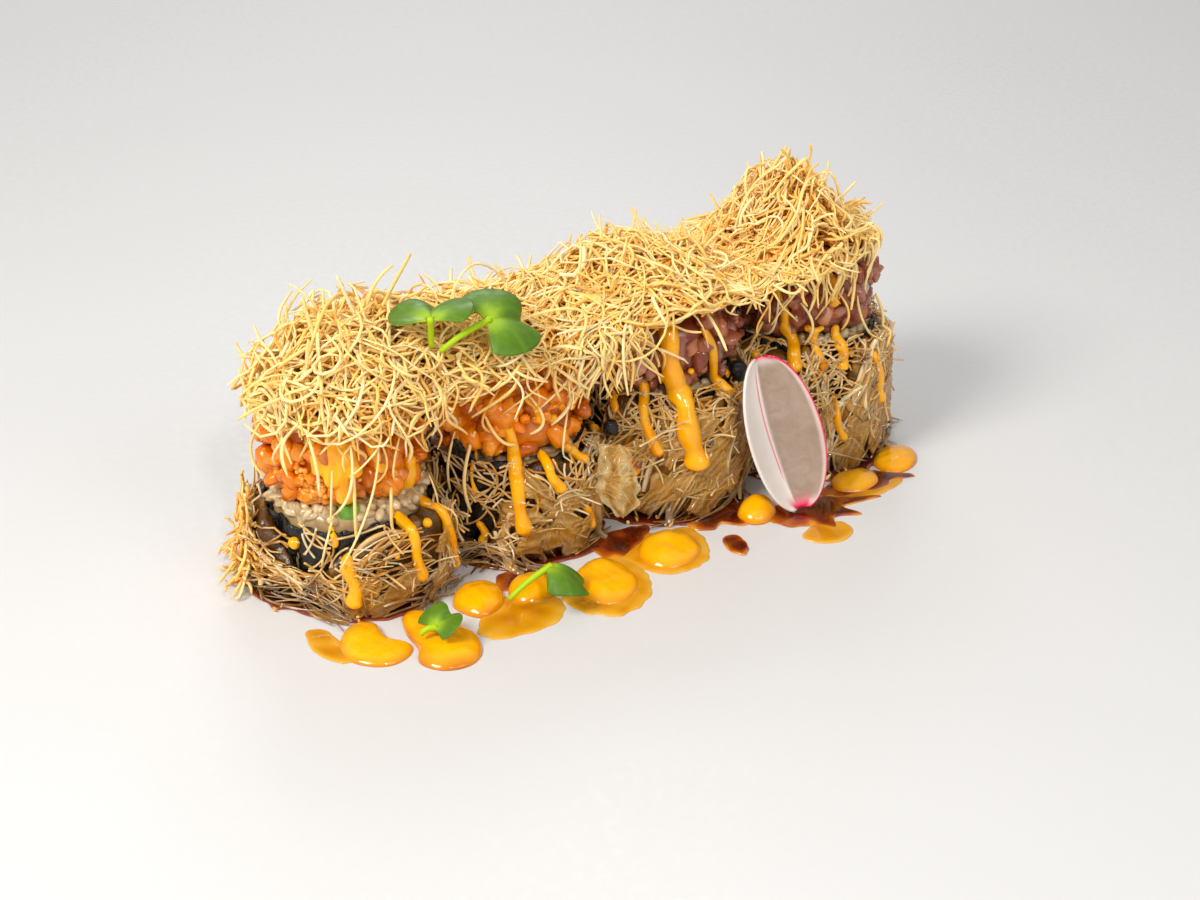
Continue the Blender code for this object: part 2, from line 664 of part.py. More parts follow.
def blanket_shreds():
    """Shreds of true thickness, spread evenly over the top and along both edges, clear of the sprouts."""
    draw = np.random.default_rng(70)
    keep_off = np.concatenate([sprout_points(sprout).reshape(-1, 3) for sprout in SPROUTS if sprout.on_top])
    shapes = []
    first, length = ROW_ENDS[0] + 0.0015, ROW_ENDS[1] - ROW_ENDS[0] - 0.0030
    paths = []
    for i in range(56):
        x = first + length * (i * 0.618034 % 1)
        paths.append(lying_shred(x, 0.25 + (math.pi - 0.5) * ((i + 0.5) / 56), draw))
    for i in range(20):
        x = first + length * ((i + 0.5) / 20)
        paths.append(hanging_shred(x, -1, draw.uniform(0.0075, 0.0125)))
    for i in range(8):
        x = first + length * ((i + 0.5) / 8)
        paths.append(hanging_shred(x, 1, draw.uniform(0.0070, 0.0100)))
    for inside, tip in TALL_SHREDS:
        share = np.linspace(0, 1, 5)[:, None]
        bow = np.array([0.0012, 0.0, 0.0]) * np.sin(math.pi * share)
        paths.append(np.array(inside) + (np.array(tip) - np.array(inside)) * share + bow)
    for path in paths:
        apart = np.linalg.norm(path[:, None] - keep_off[None], axis=2).min()
        if apart > 0.0026:
            shapes.append(tube_shape(path, np.full(len(path), SHRED_RADIUS), SHRED_SIDES))
    return shapes


def pool(index, spec):
    """A low bead of mayonnaise that has run to a stop, kept clear of the coats."""
    x, y, half_long, half_wide, turned, height = spec
    angle = turn(12)
    reach = half_long * half_wide / np.hypot(half_wide * np.cos(angle), half_long * np.sin(angle))
    heading = angle + math.radians(turned)
    reach = reach * (1 + ripple(angle, 80 + index, 0.035))
    edge = np.stack([x + reach * np.cos(heading), y + reach * np.sin(heading)], 1)
    clearance = 0.0012
    for piece in SLICES:
        away = edge - (piece.x, piece.y)
        far = np.linalg.norm(away, axis=1)
        bearing = np.arctan2(away[:, 1], away[:, 0])
        wanted = coat_radius(piece, bearing) + clearance
        edge += away / far[:, None] * np.maximum(0, wanted - far)[:, None]
    middle = edge.mean(0)
    rings = []
    for share, lift in ((0.97, 0.0), (1.0, 0.25), (0.86, 0.72), (0.5, 0.98)):
        flat = middle + (edge - middle) * share
        rings.append(np.column_stack([flat, np.full(len(flat), lift * height)]))
    return mesh_object(f"mayonnaise_pool_{index}", *poled_shape(rings), "mayonnaise")


def sprout_points(sprout):
    """The sprout's middle surface as a grid: along the stem, then fanned out over the two-lobed leaf."""
    root, joint = np.array(sprout.root), np.array(sprout.joint)
    yaw, pitch, roll = (math.radians(a) for a in (sprout.heading, sprout.pitch, sprout.roll))
    ahead = np.array([math.cos(yaw) * math.cos(pitch), math.sin(yaw) * math.cos(pitch), math.sin(pitch)])
    level_side = np.array([-math.sin(yaw), math.cos(yaw), 0.0])
    above = np.cross(ahead, level_side)
    side = level_side * math.cos(roll) + above * math.sin(roll)
    up = np.cross(ahead, side)
    across = np.linspace(-1, 1, 9)
    rows = []
    for share in (0.0, 0.5):
        middle = root + (joint - root) * share + np.array([0, 0, 1]) * 0.0006 * math.sin(math.pi * share)
        rows.append(middle + np.outer(across * STEM_HALF, side))
    fan = across * math.radians(108)
    lobes = 1 - 0.30 * np.exp(-((across / 0.16) ** 2)) - 0.34 * np.abs(across) ** 3
    for share in (0.19, 0.44, 0.72, 1.0):
        reach = sprout.radius * lobes * share
        forward, sideways = reach * np.cos(fan), reach * np.sin(fan)
        lift = sprout.fold * np.abs(np.sin(fan)) * share - sprout.droop * share**2 * np.abs(np.cos(fan * 0.5))
        lift = lift + 0.0004 * np.sin(across * 7) * share
        rows.append(joint + np.outer(forward, ahead) + np.outer(sideways, side) + np.outer(lift, up))
    return np.array(rows)


def slab(name, middle, half_thickness, kind):
    """A thin solid over a grid of points, with both faces split into triangles alike and a closed edge."""
    rows, columns = middle.shape[:2]
    down_rows, down_columns = np.gradient(middle, axis=0), np.gradient(middle, axis=1)
    normal = np.cross(down_rows, down_columns)
    normal /= np.linalg.norm(normal, axis=2)[..., None] + 1e-12
    upper = (middle + normal * half_thickness).reshape(-1, 3)
    lower = (middle - normal * half_thickness).reshape(-1, 3)
    count = rows * columns
    faces = []
    for i in range(rows - 1):
        for j in range(columns - 1):
            a, b = i * columns + j, i * columns + j + 1
            c, d = (i + 1) * columns + j + 1, (i + 1) * columns + j
            faces += [(a, b, c), (a, c, d)]
            faces += [(count + a, count + c, count + b), (count + a, count + d, count + c)]
    rim = [j for j in range(columns)] + [i * columns + columns - 1 for i in range(1, rows)]
    rim += [(rows - 1) * columns + j for j in range(columns - 2, -1, -1)]
    rim += [i * columns for i in range(rows - 2, 0, -1)]
    for a, b in zip(rim, rim[1:] + rim[:1]):
        faces.append((b, a, count + a, count + b))
    return mesh_object(name, np.concatenate([upper, lower]), faces, kind)


def radish_points():
    """A long thin slice leaning on the row: an oval whose left side curls forward."""
    foot, top = np.array(RADISH_FOOT), np.array(RADISH_TOP)
    along = (top - foot) / np.linalg.norm(top - foot)
    facing = np.array([math.cos(RADISH_FACING), math.sin(RADISH_FACING), 0.0])
    facing -= along * (facing @ along)
    facing /= np.linalg.norm(facing)
    right = np.cross(facing, along)
    right = -right if right[0] < 0 else right
    half_length = np.linalg.norm(top - foot) / 2
    middle = (foot + top) / 2
    rows = []
    across = np.linspace(-1, 1, 8)
    for latitude in np.linspace(-1, 1, 10):
        width = RADISH_HALF_WIDTH * math.sqrt(max(0.0, 1 - (0.985 * latitude) ** 2)) + 0.0006
        bend = across * width
        curl = np.where(across < -0.2, ((-across - 0.2) * width) ** 2 / 0.011, 0) + 0.0016 * across**2
        wave = 0.0006 * np.sin(latitude * 4.2 + across)
        bend = bend + np.where(across < -0.2, 0.35 * ((-across - 0.2) * width), 0)
        spine = middle + along * half_length * latitude
        rows.append(spine + np.outer(bend, right) + np.outer(curl + wave, facing))
    return np.array(rows)


def gathered(piece, members):
    """Parents a slice's pieces to an empty on its axis, and moves their points to suit."""
    axis = bpy.data.objects.new(f"slice_{piece.number}", None)
    axis.location = (piece.x - ORIGIN[0], piece.y - ORIGIN[1], 0.0)
    bpy.context.scene.collection.objects.link(axis)
    for member in members:
        member.data.transform(Matrix.Translation(-axis.location))
        member.parent = axis


def build():
    for old in list(bpy.data.objects):
        bpy.data.objects.remove(old)
    for piece in SLICES:
        rice = rice_core(piece)
        members = [nori_band(piece), rice, fish_heap(piece), coat(piece)]
        if piece.number in CUCUMBERS:
            cut_for_cucumber(rice, piece)
            members.append(cucumber(piece))
        gathered(piece, members)
    blanket()
    for index, spec in enumerate(POOLS, 1):
        pool(index, spec)
    for sprout in SPROUTS:
        slab(sprout.name, sprout_points(sprout), LEAF_HALF_THICKNESS, "leaf")
    slab("radish_slice", radish_points(), RADISH_HALF_THICKNESS, "radish")


build()
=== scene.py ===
"""Cut sushi roll under crisp pastry shreds: the looks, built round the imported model.

Four slices stand on their cut faces in one row along X. Each is a nori band round rice, wrapped in sauced
pastry shreds and topped with chopped fish; one heap of crisp shreds lies over all four. Lengths are metres.
Shapes are worked out in the row's own axes, and Shape.piece moves them to the shared frame.
"""

import logging
import math
from dataclasses import dataclass, field
from enum import Enum
from typing import Iterable, Optional, Sequence

import bpy
import numpy as np
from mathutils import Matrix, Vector


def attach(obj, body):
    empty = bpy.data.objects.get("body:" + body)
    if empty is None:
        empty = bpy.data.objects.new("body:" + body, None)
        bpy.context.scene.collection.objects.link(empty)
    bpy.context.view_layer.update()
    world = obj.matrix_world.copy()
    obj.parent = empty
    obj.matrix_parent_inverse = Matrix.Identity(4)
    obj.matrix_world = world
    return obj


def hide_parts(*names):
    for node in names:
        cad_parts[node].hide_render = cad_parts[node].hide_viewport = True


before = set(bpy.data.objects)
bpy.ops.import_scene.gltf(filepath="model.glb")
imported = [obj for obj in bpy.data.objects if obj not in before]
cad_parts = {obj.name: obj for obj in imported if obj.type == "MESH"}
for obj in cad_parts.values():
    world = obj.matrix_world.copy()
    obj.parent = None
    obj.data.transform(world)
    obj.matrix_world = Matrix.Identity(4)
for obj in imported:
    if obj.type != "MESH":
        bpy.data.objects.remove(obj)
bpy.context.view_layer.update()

LOG = logging.getLogger("sushi_row")
Array = np.ndarray
Draw = np.random.Generator
Material, Tree, Socket = bpy.types.Material, bpy.types.NodeTree, bpy.types.NodeSocket

ROW_TO_FRAME = np.array([0.0004, 0.0124, 0.0])
FRONT = math.radians(-122.0)  # the side of each slice that shows most, as an angle about its own axis
NORI_RADIUS, NORI_SQUEEZE, NORI_THICKNESS = 0.0193, 0.0007, 0.0006
GAP = 0.0003
COAT_THICKNESS = 0.0042
MM = 0.001


class Fish(Enum):
    """Which fish is chopped on top of a slice."""

    SALMON = "salmon"
    TUNA = "tuna"


# Colours and nodes
def linear(hex_colour: str) -> tuple[float, float, float, float]:
    """Turns an sRGB hex colour into linear red, green and blue, with alpha 1.

    Args:
        hex_colour: six hex digits, such as "F0D9A0".

    Returns:
        The four numbers that a colour socket takes.
    """
    parts = [int(hex_colour[i : i + 2], 16) / 255 for i in (0, 2, 4)]
    return (*[c / 12.92 if c <= 0.04045 else ((c + 0.055) / 1.055) ** 2.4 for c in parts], 1.0)


def add_node(tree: Tree, kind: str, settings: Optional[dict] = None,
             links: Optional[dict] = None) -> bpy.types.Node:
    """Adds a node with its settings and links.

    Args:
        tree: the material's node tree.
        kind: the node's type name.
        settings: sockets by name or index, properties by name, or "stops" for a colour ramp.
        links: input sockets by name or index, each with the output socket that feeds it.

    Returns:
        The new node.
    """
    made = tree.nodes.new(kind)
    for key, value in (settings or {}).items():
        if key == "stops":
            elements = made.color_ramp.elements
            while len(elements) < len(value):
                elements.new(0.5)
            for element, (place, colour) in zip(elements, value):
                element.position, element.color = place, linear(colour)
        elif isinstance(key, str) and hasattr(made, key):
            setattr(made, key, value)
        else:
            made.inputs[key].default_value = value
    for key, source in (links or {}).items():
        tree.links.new(source, made.inputs[key])
    return made


# Finishes
@dataclass(frozen=True)
class Finish:
    """What every finish has: a colour ramp driven by the points' tint, gloss, and soft light inside."""

    name: str
    stops: tuple[tuple[float, str], ...]
    roughness: float = 0.4
    ior: float = 1.45
    wet: float = 0.0  # weight of the clear coat of sauce or water
    glow: float = 0.0  # subsurface weight
    bleed: tuple[float, float, float] = (1.0, 0.5, 0.25)  # how far red, green and blue travel inside
    bleed_mm: float = 1.0
    mottle: float = 0.25  # how much the noise moves the tint
    mottle_mm: float = 3.0
    bump_mm: float = 0.08
    grain_mm: float = 0.6
    bump: float = 0.3
    alpha: float = 1.0

    def material(self) -> Material:
        """The finish as a material: tint plus noise through the ramp, with noise bump and uneven gloss.

        Returns:
            The Blender material.
        """
        made = bpy.data.materials.new(self.name)
        made.use_nodes = True
        tree = made.node_tree
        shader = tree.nodes["Principled BSDF"]
        constants = {
            "Roughness": self.roughness, "IOR": self.ior, "Coat Weight": self.wet, "Coat Roughness": 0.06,
            "Subsurface Weight": self.glow, "Subsurface Radius": self.bleed,
            "Subsurface Scale": self.bleed_mm * MM, "Alpha": self.alpha,
        }
        for socket, value in constants.items():
            shader.inputs[socket].default_value = value
        place = add_node(tree, "ShaderNodeTexCoord").outputs["Object"]
        tree.links.new(self.colour(tree, place), shader.inputs["Base Color"])
        tree.links.new(self.gloss(tree, place), shader.inputs["Roughness"])
        tree.links.new(self.relief(tree, place), shader.inputs["Normal"])
        return made

    def colour(self, tree: Tree, place: Socket) -> Socket:
        """Colour from the ramp at tint + mottle x (noise - 0.5).

        Args:
            tree: the material's node tree.
            place: the Object coordinates.

        Returns:
            The colour output.
        """
        tint = add_node(tree, "ShaderNodeAttribute", {"attribute_name": "tint"})
        patches = add_node(tree, "ShaderNodeTexNoise", {"Scale": 1 / (self.mottle_mm * MM), "Detail": 4.0},
                           {"Vector": place})
        shifted = add_node(tree, "ShaderNodeMath", {"operation": "MULTIPLY_ADD", 1: self.mottle * 2},
                           {0: patches.outputs["Fac"], 2: tint.outputs["Fac"]})
        centred = add_node(tree, "ShaderNodeMath", {"operation": "SUBTRACT", 1: self.mottle},
                           {0: shifted.outputs[0]})
        ramp = add_node(tree, "ShaderNodeValToRGB", {"stops": self.stops}, {"Fac": centred.outputs[0]})
        return ramp.outputs["Color"]

    def gloss(self, tree: Tree, place: Socket) -> Socket:
        """Roughness that wanders a third either way, as a film of moisture does.

        Args:
            tree: the material's node tree.
            place: the Object coordinates.

        Returns:
            The roughness output.
        """
        film = add_node(tree, "ShaderNodeTexNoise", {"Scale": 1 / (2.2 * MM), "Detail": 3.0},
                        {"Vector": place})
        spread = add_node(
            tree, "ShaderNodeMapRange",
            {"From Min": 0.3, "From Max": 0.7, "To Min": self.roughness * 0.65,
             "To Max": self.roughness * 1.4},
            {"Value": film.outputs["Fac"]},
        )
        return spread.outputs["Result"]

    def relief(self, tree: Tree, place: Socket) -> Socket:
        """Bump from fine noise.

        Args:
            tree: the material's node tree.
            place: the Object coordinates.

        Returns:
            The normal output.
        """
        grain = add_node(tree, "ShaderNodeTexNoise", {"Scale": 1 / (self.grain_mm * MM), "Detail": 5.0},
                         {"Vector": place})
        bump = add_node(tree, "ShaderNodeBump", {"Strength": self.bump, "Distance": self.bump_mm * MM},
                        {"Height": grain.outputs["Fac"]})
        return bump.outputs["Normal"]


@dataclass(frozen=True)
class FishFinish(Finish):
    """Raw fish: wet and translucent, with pale streaks of fat a few millimetres apart."""

    streak: str = "F6C4A0"
    streak_mm: float = 3.2
    streak_weight: float = 0.35

    def colour(self, tree: Tree, place: Socket) -> Socket:
        """The ramp's colour, mixed towards the fat's colour along warped bands.

        Args:
            tree: the material's node tree.
            place: the Object coordinates.

        Returns:
            The colour output.
        """
        flesh = super().colour(tree, place)
        bands = add_node(
            tree, "ShaderNodeTexWave",
            {"Scale": 1 / (self.streak_mm * MM) / 6.3, "Distortion": 9.0, "Detail": 3.0,
             "Detail Scale": 1.4},
            {"Vector": place},
        )
        sharp = add_node(
            tree, "ShaderNodeMapRange",
            {"From Min": 0.72, "From Max": 0.98, "To Min": 0.0, "To Max": self.streak_weight},
            {"Value": bands.outputs["Fac"]},
        )
        mixed = add_node(tree, "ShaderNodeMix", {"data_type": "RGBA", 7: linear(self.streak)},
                         {0: sharp.outputs["Result"], 6: flesh})
        return mixed.outputs[2]


@dataclass(frozen=True)
class SaucedFinish(Finish):
    """A finish that soy glaze has soaked into in places, where the "sauce" attribute says."""

    sauce: str = "7E3408"

    def colour(self, tree: Tree, place: Socket) -> Socket:
        """The ramp's colour, mixed towards the glaze's colour.

        Args:
            tree: the material's node tree.
            place: the Object coordinates.

        Returns:
            The colour output.
        """
        clean = super().colour(tree, place)
        soaked = add_node(tree, "ShaderNodeAttribute", {"attribute_name": "sauce"})
        mixed = add_node(tree, "ShaderNodeMix", {"data_type": "RGBA", 7: linear(self.sauce)},
                         {0: soaked.outputs["Fac"], 6: clean})
        return mixed.outputs[2]


@dataclass(frozen=True)
class RadishFinish(Finish):
    """Sliced radish: wet white flesh, glassier in the middle, with a dyed skin at the rim."""

    skin: str = "E2185C"
    glassy: str = "8C7058"

    def colour(self, tree: Tree, place: Socket) -> Socket:
        """The flesh, mixed to glassy by the "glassy" attribute and to the skin's dye by "dye".

        Args:
            tree: the material's node tree.
            place: the Object coordinates.

        Returns:
            The colour output.
        """
        flesh = super().colour(tree, place)
        threads = add_node(tree, "ShaderNodeTexNoise",
                           {"Scale": 1 / (3.5 * MM), "Detail": 5.0, "Distortion": 1.2}, {"Vector": place})
        middle = add_node(tree, "ShaderNodeAttribute", {"attribute_name": "glassy"})
        veins = add_node(tree, "ShaderNodeMapRange",
                         {"From Min": 0.3, "From Max": 0.7, "To Min": 0.88, "To Max": 1.0},
                         {"Value": threads.outputs["Fac"]})
        cleared = add_node(tree, "ShaderNodeMath", {"operation": "MULTIPLY", "use_clamp": True},
                           {0: middle.outputs["Fac"], 1: veins.outputs["Result"]})
        body = add_node(tree, "ShaderNodeMix", {"data_type": "RGBA", 7: linear(self.glassy)},
                        {0: cleared.outputs[0], 6: flesh})
        dye = add_node(tree, "ShaderNodeAttribute", {"attribute_name": "dye"})
        mixed = add_node(tree, "ShaderNodeMix", {"data_type": "RGBA", 7: linear(self.skin)},
                         {0: dye.outputs["Fac"], 6: body.outputs[2]})
        return mixed.outputs[2]


# Fried pastry shred: a dry starch crust, so soft highlights, and light that glows through thin strands
CRISP = Finish(
    "fried_pastry_shred", ((0.0, "DC8014"), (0.3, "F3AC44"), (0.62, "FCD27C"), (1.0, "FFEBBA")),
    roughness=0.42, ior=1.22, glow=0.3, bleed=(1.0, 0.8, 0.5), bleed_mm=0.5, mottle=0.14, mottle_mm=2.5,
    bump=0.35, bump_mm=0.05, grain_mm=0.5,
)
# Sauce-soaked pastry shred: half clear, grey-gold, with a wet skin that catches small sharp lights
SOAKED = SaucedFinish(
    "soaked_pastry_shred", ((0.0, "7A4606"), (0.35, "CE8A26"), (0.65, "F4C068"), (1.0, "FFE9BC")),
    roughness=0.10, wet=1.0, glow=0.25, bleed=(1.0, 0.8, 0.5), bleed_mm=0.5, alpha=0.68, mottle=0.25,
    mottle_mm=4.0, bump=0.35, bump_mm=0.06, grain_mm=0.7, sauce="5E2606",
)
# Sheet of soaked pastry where shreds have run together: a clear grey-gold jelly with a wet skin
JELLY = SaucedFinish(
    "soaked_pastry_sheet", ((0.0, "8A560C"), (0.5, "DCA23C"), (1.0, "FFE2A0")),
    roughness=0.07, wet=1.0, mottle=0.2, mottle_mm=2.5, bump=0.25, bump_mm=0.15, grain_mm=1.2, alpha=0.42,
    sauce="8A4410",
)
# Blown-up pastry sheet: so thin that what is behind it shows, with painted light and shade that follow its
# folds
BLOWN = SaucedFinish(
    "blown_pastry_sheet", ((0.0, "C88828"), (0.5, "F6C86C"), (1.0, "FFECB4")), roughness=0.12, wet=0.7,
    mottle=0.3, mottle_mm=2.0, bump=0.4, bump_mm=0.15, alpha=0.27, sauce="8A4410",
)
# Soaked pastry in the depth of the coat: the same sauce seen through more of itself, darker still with
# painted shade for the gaps between strands
SOAKED_PAINTED_DEPTH = SaucedFinish(
    "soaked_pastry_mass_painted_shade", ((0.0, "160A02"), (0.5, "64400C"), (1.0, "C48A30")),
    roughness=0.22, wet=0.35, mottle=0.4, mottle_mm=3.0, bump=1.0, bump_mm=0.6, grain_mm=1.4, sauce="3E1204",
)
# Crisp shreds in the depth of the heap: painted shade and a painted amber glow that stand for light bouncing
# between strands
CRISP_PAINTED_DEPTH = Finish(
    "fried_pastry_depth_painted_glow", ((0.0, "CC7212"), (0.5, "EE9C34"), (1.0, "FCC468")),
    roughness=0.6, mottle=0.35, mottle_mm=2.0, bump=1.0, bump_mm=0.8, grain_mm=1.3,
)
# Toasted nori: pressed seaweed, near black, with small sharp lights where it is wet
NORI = Finish(
    "wet_toasted_nori", ((0.0, "050607"), (0.6, "0B0D0F"), (1.0, "1A1E21")), roughness=0.20, wet=0.2,
    mottle=0.4, mottle_mm=1.8, bump=1.0, bump_mm=0.75, grain_mm=1.2,
)
# Seasoned rice: moist starch, cloudy and slightly see-through
RICE = Finish(
    "seasoned_rice", ((0.0, "745838"), (0.5, "B89868"), (1.0, "E4CEA4")), roughness=0.2, wet=0.35, glow=0.3,
    bleed=(1.0, 0.85, 0.6), bleed_mm=1.4, mottle=0.3, bump=0.2,
)
# Fresh cucumber baton: wet green skin
CUCUMBER = Finish(
    "cucumber_skin", ((0.0, "2F5A12"), (0.5, "4E8A1E"), (1.0, "8FBC4A")), roughness=0.22, wet=0.3, glow=0.15,
    mottle=0.3, mottle_mm=2.0,
)
# Chopped raw salmon: wet orange flesh with pale fat
SALMON = FishFinish(
    "chopped_salmon", ((0.0, "A84A00"), (0.4, "E87A00"), (0.75, "F5940E"), (1.0, "FAB248")), roughness=0.16,
    wet=0.3, mottle=0.28, mottle_mm=3.0, bump=0.4, bump_mm=0.18, grain_mm=1.0, streak="F5AC56",
    streak_weight=0.24,
)
# Chopped raw tuna: wet, dark purple-brown, with pinkish paler pieces
TUNA = FishFinish(
    "chopped_tuna", ((0.0, "54200E"), (0.4, "984C30"), (0.75, "C47C54"), (1.0, "E8B08C")), roughness=0.15,
    wet=0.4, mottle=0.3, mottle_mm=3.5, bump=0.4, bump_mm=0.18, grain_mm=1.0, streak="D2A498",
    streak_weight=0.25,
)
# Smelt roe: tiny clear orange beads
ROE = Finish(
    "smelt_roe", ((0.0, "D86400"), (0.5, "F08C0E"), (1.0, "FFB84A")), roughness=0.08, wet=0.6, glow=0.35,
    bleed=(1.0, 0.5, 0.12), bleed_mm=1.0, mottle=0.15, bump=0.0,
)
# Spiced mayonnaise: thick, smooth and glossy yellow-orange, browner where sauce has run into it
MAYONNAISE = SaucedFinish(
    "spiced_mayonnaise", ((0.0, "DA7A00"), (0.35, "F8A000"), (0.7, "FFB200"), (1.0, "FFC83C")),
    roughness=0.10, wet=0.4, glow=0.25, bleed=(1.0, 0.6, 0.08), bleed_mm=1.4, mottle=0.12, mottle_mm=5.0,
    bump=0.05, sauce="9C3404",
)
# Thin sweet sauce: a see-through amber film
AMBER = Finish(
    "thin_amber_sauce", ((0.0, "C87C00"), (0.5, "E09A0C"), (1.0, "EDB440")), roughness=0.06, wet=0.6,
    mottle=0.2, mottle_mm=6.0, bump=0.0, alpha=0.9,
)
# Reduced soy glaze: syrupy dark red-brown, amber at its thin edges
GLAZE = Finish(
    "reduced_soy_glaze", ((0.0, "340C02"), (0.45, "6A1E04"), (0.75, "A64A08"), (1.0, "DC9020")),
    roughness=0.06, wet=0.8, mottle=0.25, mottle_mm=3.0, bump=0.1, bump_mm=0.1, alpha=0.95,
)
# Seed leaf of a radish sprout: soft waxy green, brighter beneath
LEAF = Finish(
    "sprout_leaf", ((0.0, "34560A"), (0.35, "648A24"), (0.6, "8EAE2A"), (1.0, "AECC0C")), roughness=0.42,
    ior=1.3, mottle=0.12, mottle_mm=2.0, bump=0.25, bump_mm=0.05, grain_mm=0.5,
)
# Sliced radish: wet white flesh that clears to grey in its middle, with a magenta skin
RADISH = RadishFinish(
    "sliced_radish", ((0.0, "C9BAAE"), (0.5, "E4D9CF"), (1.0, "F3ECE6")), roughness=0.18, wet=0.3, glow=0.25,
    bleed=(1.0, 0.8, 0.75), bleed_mm=1.6, mottle=0.15, mottle_mm=3.0, bump=0.25, bump_mm=0.1, grain_mm=0.8,
)
# Painted studio table: plain, pale and matt
TABLE = Finish(
    "pale_studio_table", ((0.0, "D0CFCE"), (0.5, "D4D3D2"), (1.0, "D8D7D6")), roughness=0.5, mottle=0.1,
    mottle_mm=60.0, bump=0.02, grain_mm=4.0,
)


# Meshes as arrays
@dataclass
class Shape:
    """Points in the row's axes, four-sided and three-sided faces, and named numbers for each point."""

    points: Array
    quads: Array
    triangles: Array
    values: dict[str, Array] = field(default_factory=dict)

    def outwards(self) -> "Shape":
        """The same shape with its faces turned outwards: the enclosed volume decides.

        Returns:
            This shape, its faces reversed if they enclosed a negative volume.
        """
        quads, triangles = self.quads, self.triangles
        fans = np.concatenate([triangles, quads[:, [0, 1, 2]], quads[:, [0, 2, 3]]])
        a, b, c = (self.points[fans[:, k]] - self.points.mean(0) for k in range(3))
        if float(np.einsum("ij,ij->", a, np.cross(b, c))) < 0:
            self.quads, self.triangles = quads[:, ::-1], triangles[:, ::-1]
        return self

    @staticmethod
    def joined(parts: Sequence["Shape"]) -> "Shape":
        """Several shapes as one, their points in a single array.

        Args:
            parts: the shapes.

        Returns:
            The joined shape. A value that a part lacks is 0.5 on its points.
        """
        starts = np.cumsum([0] + [len(p.points) for p in parts[:-1]])
        names = sorted({name for p in parts for name in p.values})
        return Shape(
            np.concatenate([p.points for p in parts]),
            np.concatenate([p.quads + s for p, s in zip(parts, starts)]),
            np.concatenate([p.triangles + s for p, s in zip(parts, starts)]),
            {n: np.concatenate([p.values.get(n, np.full(len(p.points), 0.5)) for p in parts])
             for n in names},
        )

    def mesh(self, name: str, shift: Array) -> bpy.types.Mesh:
        """A Blender mesh of this shape.

        Args:
            name: the mesh's name.
            shift: what is added to every point.

        Returns:
            The mesh, smooth shaded, with its values as point attributes.
        """
        made = bpy.data.meshes.new(name)
        corners = np.concatenate([self.quads.ravel(), self.triangles.ravel()]).astype(np.int32)
        fours, threes = len(self.quads), len(self.triangles)
        starts = np.concatenate([np.arange(fours) * 4, fours * 4 + np.arange(threes) * 3]).astype(np.int32)
        made.vertices.add(len(self.points))
        made.vertices.foreach_set("co", (self.points + shift).astype(np.float32).ravel())
        made.loops.add(len(corners))
        made.loops.foreach_set("vertex_index", corners)
        made.polygons.add(fours + threes)
        made.polygons.foreach_set("loop_start", starts)
        for key, numbers in self.values.items():
            made.attributes.new(key, "FLOAT", "POINT").data.foreach_set("value", numbers.astype(np.float32))
        made.update(calc_edges=True)
        made.validate()
        made.shade_smooth()
        return made

    def piece(self, name: str, finish: Material, nodes: Iterable[str] = (),
              slot: str = "") -> bpy.types.Object:
        """Puts the shape in the scene as a piece that rides on the row.

        Args:
            name: the piece's name.
            finish: its material.
            nodes: the CAD nodes it stands for.
            slot: the record's material slot; not used.

        Returns:
            The new object, at the origin, with its place in its mesh.
        """
        made = bpy.data.objects.new(name, self.mesh(name, ROW_TO_FRAME))
        made.data.materials.append(finish)
        bpy.context.scene.collection.objects.link(made)
        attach(made, "root")
        if nodes:
            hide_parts(*nodes)
        LOG.info("%s: %d triangles", name, len(self.triangles) + 2 * len(self.quads))
        return made


def turn(steps: int) -> Array:
    """Evenly spaced angles once round, the last not repeated."""
    return np.arange(steps) * 2 * math.pi / steps


def unit(vectors: Array) -> Array:
    """The vectors at length 1, along their last axis."""
    return vectors / (np.linalg.norm(vectors, axis=-1, keepdims=True) + 1e-12)


def closed_curve(marks: Sequence[tuple[float, float]], count: int = 96) -> Array:
    """A smooth closed line through a few points: a Catmull-Rom cubic between each two.

    Args:
        marks: the points, in order round the line.
        count: how many points the line gets.

    Returns:
        Points, shape (count, 2).
    """
    knots = np.array(marks)
    place = np.arange(count) * len(knots) / count
    k, f = place.astype(int), (place % 1)[:, None]
    a, b, c, d = (knots[(k + shift) % len(knots)] for shift in (-1, 0, 1, 2))
    return 0.5 * (2 * b + (c - a) * f + (2 * a - 5 * b + 4 * c - d) * f**2 + (3 * b - a - 3 * c + d) * f**3)


def arcs(marks: Array, steps: int) -> Array:
    """Parabolas that pass through three points each, the second one halfway.

    Args:
        marks: shape (curves, 3, axes).
        steps: points along each.

    Returns:
        Points, shape (curves, steps, axes).
    """
    share = np.linspace(0, 1, steps)[None, :, None]
    first, middle, last = marks[:, None, 0], marks[:, None, 1], marks[:, None, 2]
    control = 2 * middle - (first + last) / 2
    return first * (1 - share) ** 2 + 2 * control * share * (1 - share) + last * share**2


def swell(points: Array, size: float, seed: int) -> Array:
    """Smooth uneven noise: a sum of sine waves in random directions, with wavelengths about the size.

    Args:
        points: where it is read, on the last axis.
        size: a typical wavelength, in metres.
        seed: picks the waves.

    Returns:
        Numbers mostly between -1.5 and 1.5.
    """
    draw = np.random.default_rng(seed)
    waves = 8
    ways = unit(draw.normal(size=(waves, 3))) * (2 * math.pi / size * draw.uniform(0.6, 1.6, (waves, 1)))
    return np.sin(points @ ways.T + draw.uniform(0, 2 * math.pi, waves)).sum(-1) / math.sqrt(waves)


